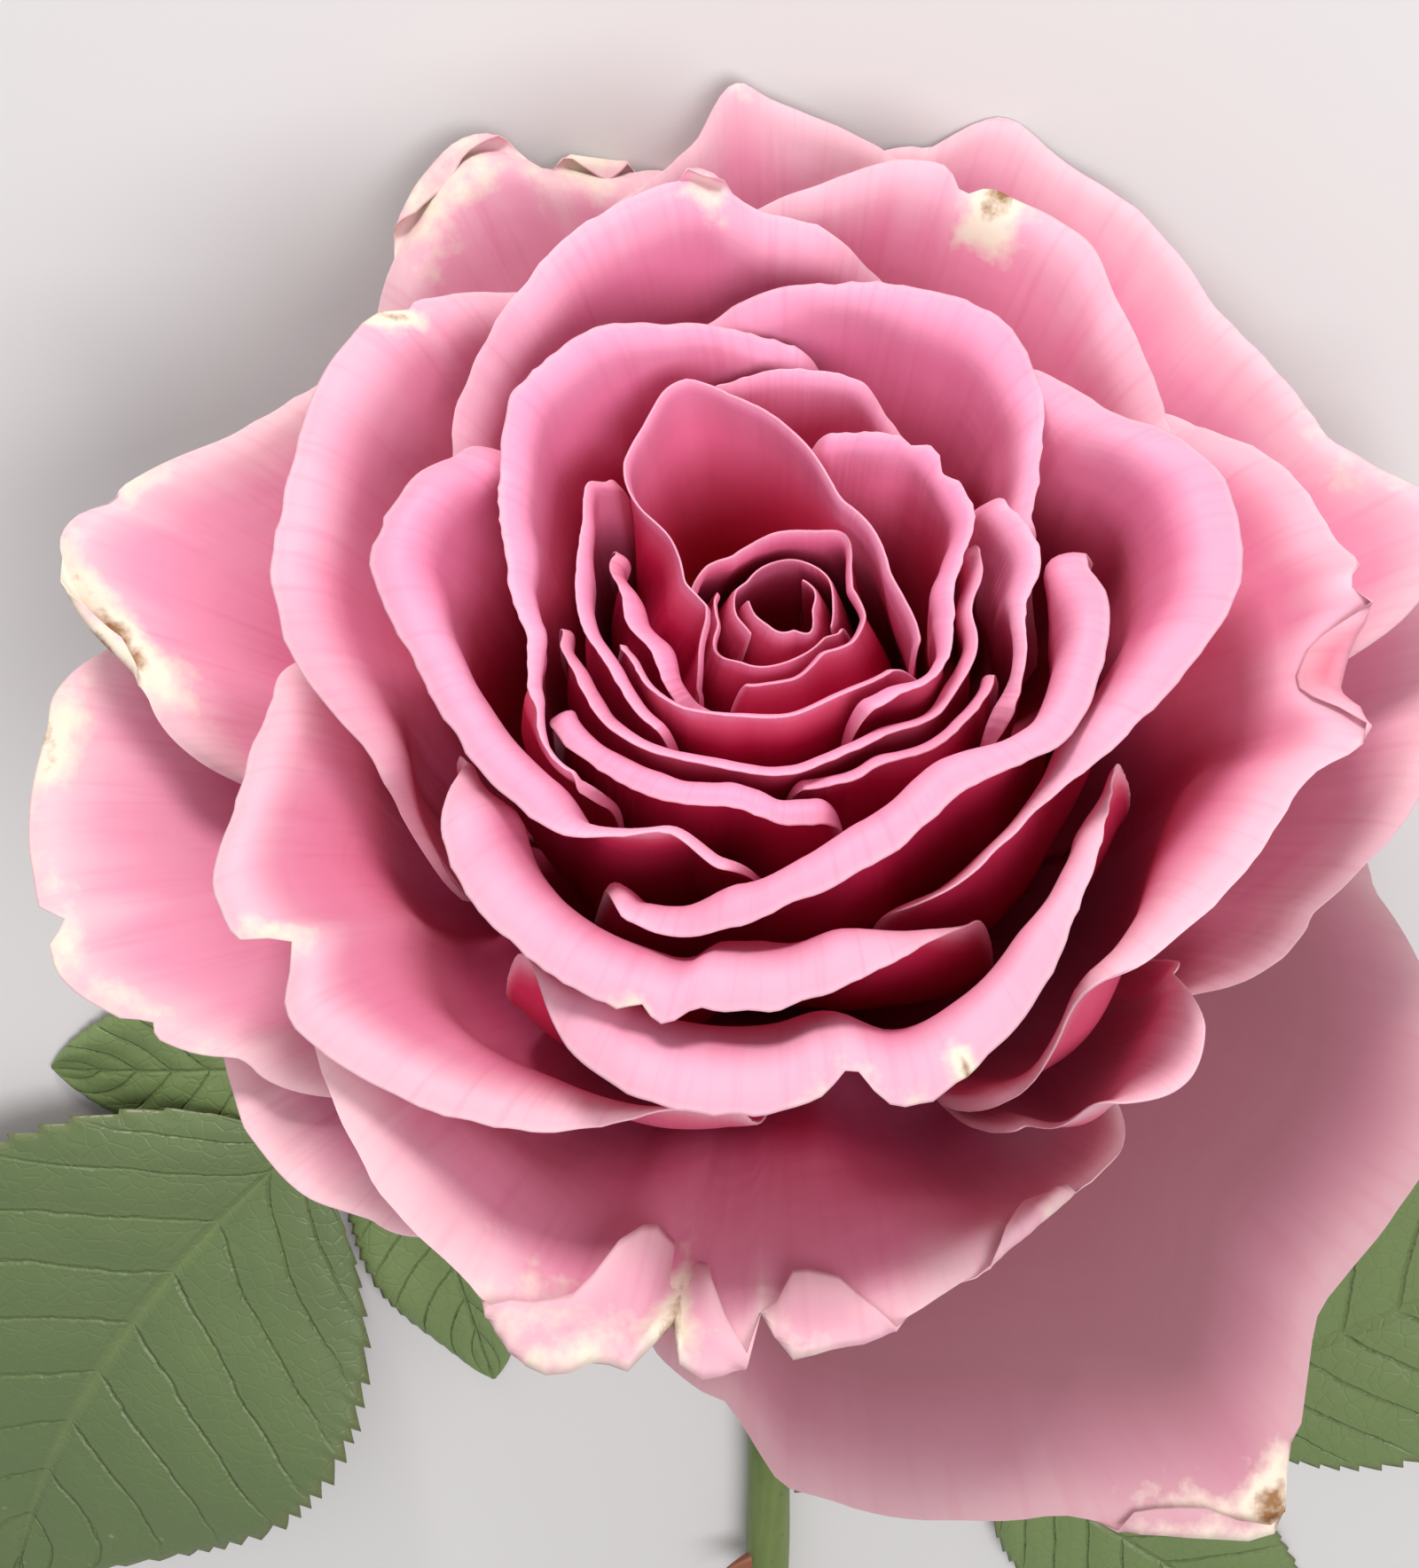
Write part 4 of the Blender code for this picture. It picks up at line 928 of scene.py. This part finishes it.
def fine_petals(finish):
    cover = np.full((360, LONGEST + 1), UNCOVERED)
    for number, (name, *shape) in enumerate(PETALS):
        gap = PETAL_GAP + LOOSER_PETALS.get(name, 0)
        grid = lay_petal(cover, gap, *shape)
        count = round(len(grid[0]) * FINE_COLUMNS)
        around, length, openness = (refine(field, count) for field in grid)
        radius, up = profile(openness, length)
        angle = np.radians(around)
        points = np.stack((radius * np.cos(angle), radius * np.sin(angle), up), axis=-1)
        bearing = around[:, -1]
        age = number / (len(PETALS) - 1)

        walked = along_columns(points)
        radius = np.hypot(points[..., 0], points[..., 1])
        near_rim = ease(1 - (walked[:, -1:] - walked) / RIM_REACH) * ease(radius / 30)
        height = sum(wave_over(around, length, number, age, wave) * near_rim
                     for wave in RIM_WAVES)
        height += wave_over(around, length, number, age, BLADE_WAVE) * ease(length / 30)
        points = points + normals_of(points) * height[..., None]
        if name in CORNERS:
            points = reach_out(points, bearing, CORNERS[name])
        points = nick(name, points, bearing)
        rim_row = points.shape[1] - 1
        if name in FLAPS:
            points = fold_back(points, bearing, *FLAPS[name], number + FLAP_SEED)
        points = above_table(points)

        walked = along_columns(points)
        whole = walked[:, rim_row:rim_row + 1]
        left = walked[:, -1:] - walked
        inward = np.abs(whole - walked)
        edge = inward.copy()
        edge[:, rim_row:] = np.minimum(edge[:, rim_row:], left[:, rim_row:])
        folded = walked[:, -1:] > whole + FLAP_MARGIN
        edge = np.where(folded, np.minimum(edge + FLAP_MARGIN, 7), edge)
        tint = np.random.default_rng(number + TINT_SEED).uniform(-1, 1)
        marks = both_faces(
            points, along=np.minimum(walked / np.maximum(whole, 1), 1), edge=edge,
            across=np.linspace(-1, 1, len(points))[:, None], age=age, tint=tint,
            stain=stain_of(name, points, bearing, inward), dusk=DULL_AND_SHADE_AMOUNT.get(name, 0))
        thickness = FINE_THICKNESS * (0.45 + 0.55 * ease(left / 1.2))
        make_piece(name, [shell(points, thickness)], marks, BLOOM, finish)


# ==== sepals, stem and leaves ====

def fine_sepals(finish):
    rows, columns = 44, 12
    t = np.linspace(0, 1, rows + 1)
    lean = np.radians(SEPAL_LEAN[0] + (SEPAL_LEAN[1] - SEPAL_LEAN[0]) * ease(t * 1.4))
    radius = SEPAL_START[0] + running_sum(np.sin(lean), SEPAL_LENGTH / rows)
    height = SEPAL_START[1] + running_sum(np.cos(lean), SEPAL_LENGTH / rows)
    wide = np.maximum(SEPAL_HALF_WIDTH * np.sin(pi * (0.22 + 0.78 * t) ** 0.8) ** 0.9, 0.25)
    u = np.linspace(-1, 1, columns + 1)[:, None]
    for k in range(5):
        turn = radians(FIRST_SEPAL + 72 * k)
        side = wide * u
        cup = radius - 0.03 * side ** 2 + 0.12 * ripple(u * 3, t * 14, k)
        points = np.stack((cup * cos(turn) - side * sin(turn), cup * sin(turn) + side * cos(turn),
                           height + 0 * side), axis=-1)
        thickness = 0.55 * (1 - 0.6 * np.abs(u) ** 3) + 0 * side
        marks = both_faces(points, along=t, across=u)
        make_piece(f"sepal_{k + 1}", [shell(points, thickness)], marks, BLOOM, finish)


def to_table(points):
    """From the bloom's own axes to the table's, in millimetres."""
    place = TABLE.inverted() @ BLOOM
    return points @ np.array(place.to_3x3()).T + np.array(place.translation) / MM


def fine_stem(finish):
    path = smooth_path(STEM_PATH, 130)
    along = np.linspace(0, 1, len(path))
    radii = NECK_RADIUS + (STEM_RADIUS - NECK_RADIUS) * along + 0.06 * ripple(along * 40, 0, 3)
    shells = [tube_shell(path, radii, 28)]
    outline = smooth_path([(r, 0, z) for r, z in HIP], 60)
    turn = np.linspace(0, 2 * pi, 40, endpoint=False)
    rings = np.stack([np.stack((r * np.cos(turn), r * np.sin(turn), z + 0 * turn), -1)
                      for r, z in outline[1:-1, (0, 2)][::-1]])
    corners, faces = ring_shell(rings)
    shells.append((to_table(corners), faces))
    plain = sum(len(s[0]) for s in shells)
    xs, ys, zs = zip(*STEM_PATH)
    s = np.linspace(0, 1, 14)[:, None]
    for distance, around, length in PRICKLES:
        centre = np.array((np.interp(distance, ys, xs), distance, np.interp(distance, ys, zs)))
        out = np.array((sin(radians(around)), 0, cos(radians(around))))
        line = centre + out * (STEM_RADIUS - 0.7 + (length + 0.4) * s)
        line = line + np.array((0, 1, 0)) * length * 0.42 * s ** 1.8
        shells.append(tube_shell(line, 1.75 * (1 - s[:, 0]) ** 1.35 + 0.06, 12, 0.55))
    total = sum(len(s[0]) for s in shells)
    marks = {"thorn": np.repeat((0, 1), (plain, total - plain))}
    make_piece("stem", shells, marks, TABLE, finish)


def fine_blade(seed, bend, length, half_width, arch, lift):
    """A leaflet with a toothed margin, quilted between its side veins."""
    columns, rows = 30, 150
    t = np.linspace(0, 1, rows + 1)[None, :]
    u = np.linspace(-1, 1, columns + 1)[:, None]
    u = np.sign(u) * np.abs(u) ** 0.85
    heading = np.radians(bend) * t
    midrib_x, midrib_y = (running_sum(f(heading), length / rows) for f in (np.cos, np.sin))
    wide = half_width * np.maximum(np.sin(pi * t ** 0.85), 0) ** 0.75
    wide = np.maximum(wide, 0.3 + 0.35 * (1 - t))
    shifted = t + 0.012 * ripple(t * 20, np.sign(u) * 2, seed + 3)
    saw = np.mod(LEAF_TEETH * shifted, 1) - 0.5
    wide = wide * (1 + TOOTH_DEPTH * saw * np.abs(u) ** 7 * ease(t * 12) * ease((1 - t) * 14))
    wide = wide * (1 + 0.025 * ripple(t * 9, np.sign(u) * 3, seed))
    side = wide * u
    start = t - VEIN_SWEEP * np.abs(u)
    quilt = np.abs(np.sin(pi * (start * LEAF_VEINS + 0.5))) ** 0.6
    waves = BLADE_WAVES * ripple(u * 2.5, t * 8, seed + 7) * np.abs(u)
    fade = ease(np.minimum(t, 1 - t) * 9)
    z = arch * np.sin(pi * t) + lift * np.abs(side) - LEAF_DROOP * t
    z = z + (QUILTING * quilt * (1 - np.abs(u) ** 5) + waves) * fade
    z = z - MIDRIB_GROOVE * np.exp(-(u / 0.06) ** 2) * fade - 0.5 * np.abs(u) ** 6 * fade
    x = midrib_x - side * np.sin(heading)
    y = midrib_y + side * np.cos(heading)
    return np.stack((x, y, z), axis=-1), u + 0 * t, t + 0 * u


def set_down(points, base, heading):
    """Carry a leaflet to its place on the table, and keep it above the table."""
    turn = radians(heading)
    x = base[0] + points[..., 0] * cos(turn) - points[..., 1] * sin(turn)
    y = base[1] + points[..., 0] * sin(turn) + points[..., 1] * cos(turn)
    z = np.maximum(base[2] + points[..., 2], LEAF_THICKNESS / 2)
    return np.stack((x, y, z), axis=-1)


def fine_leaves(finish, stalk_finish):
    seed = 0
    for leaf, rachis, leaflets in LEAVES:
        path = smooth_path(rachis, 60)
        radii = np.interp(np.linspace(0, 1, 60), np.linspace(0, 1, len(RACHIS_RADII)), RACHIS_RADII)
        stalk = tube_shell(path, radii, 14)
        marks = {"thorn": np.full(len(stalk[0]), 0.35)}
        make_piece(f"{leaf}_stalk", [stalk], marks, TABLE, stalk_finish)
        for side, base, heading, *shape in leaflets:
            seed += 1
            points, u, t = fine_blade(seed, *shape)
            points = set_down(points, base, heading)
            midrib = 0.8 * np.exp(-(u / 0.05) ** 2) * (1 - t)
            thickness = 0.45 * (1 - 0.7 * np.abs(u) ** 8) + midrib
            tint = 0 if (leaf, side) == ("leaf_1", "terminal") else 0.75
            marks = both_faces(points, along=t, across=u, tint=tint)
            blade = shell(points, thickness)
            make_piece(f"{leaf}_{side}_leaflet", [blade], marks, TABLE, finish)


# ==== floor, light and camera ====

LIGHT_OF_ROOM = ((0.97, 0.97, 1), 0.42)
# lights: name, offset to the right, up and toward the camera, distance, size (m), power (W), colour
LAMPS = (("key", (-0.18, 0.76, 0.62), 0.95, 0.26, 6.9, (1, 0.98, 0.96)),
         ("fill", (0.3, -0.38, 0.86), 1.1, 0.7, 8.2, (1, 0.97, 1)))
FLOOR_HALF = 1.6


def view_axes():
    """The picture's right, up and toward the camera, and what the camera looks at."""
    tilt = radians(VIEW_TILT)
    toward = Vector((0, -sin(tilt), cos(tilt)))
    up = Vector((0, cos(tilt), sin(tilt)))
    right = Vector((1, 0, 0))
    turn = BLOOM.to_3x3()
    centre = BLOOM @ (Vector(VIEW_CENTRE) * MM)
    return turn @ right, turn @ up, turn @ toward, centre


def make_camera():
    right, up, toward, centre = view_axes()
    lens = bpy.data.cameras.new("camera")
    lens.sensor_fit = "VERTICAL"
    lens.sensor_height = SENSOR_MM
    lens.lens = LENS_MM
    lens.clip_start = 0.01
    camera = add_item("camera", lens)
    place = Matrix((right, up, toward)).transposed().to_4x4()
    aside = right * VIEW_SHIFT[0] + up * VIEW_SHIFT[1]
    place.translation = centre + (aside + toward * VIEW_DISTANCE) * MM
    camera.matrix_world = place
    scene.camera = camera


def make_light(name, offset, distance, size, power, colour):
    """An area light that looks at the bloom."""
    right, up, toward, centre = view_axes()
    away = (right * offset[0] + up * offset[1] + toward * offset[2]).normalized()
    data = bpy.data.lights.new(name, "AREA")
    data.energy = power
    data.size = size
    data.color = colour
    lamp = add_item(name, data)
    lamp.location = centre + away * distance
    lamp.rotation_euler = away.to_track_quat("Z", "Y").to_euler()


def make_stage():
    mesh = bpy.data.meshes.new("floor")
    corners = [(x * FLOOR_HALF, y * FLOOR_HALF, 0) for x, y in ((-1, -1), (1, -1), (1, 1), (-1, 1))]
    mesh.from_pydata(corners, [], [(0, 1, 2, 3)])
    mesh.materials.append(floor_material())
    floor = add_item("floor", mesh)
    floor.location.z = cad_box[0][2]
    scene.view_settings.view_transform = "Standard"
    world = bpy.data.worlds.new("studio")
    world.use_nodes = True
    colour, strength = LIGHT_OF_ROOM
    background = world.node_tree.nodes["Background"].inputs
    background["Color"].default_value = (*colour, 1)
    background["Strength"].default_value = strength
    scene.world = world
    for lamp in LAMPS:
        make_light(*lamp)


make_stage()
make_camera()
stem_finish = stem_material()
fine_petals(petal_material())
fine_sepals(sepal_material())
fine_stem(stem_finish)
fine_leaves(leaf_material(), stem_finish)
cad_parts["stamens"].material_slots[0].material = stamen_material()
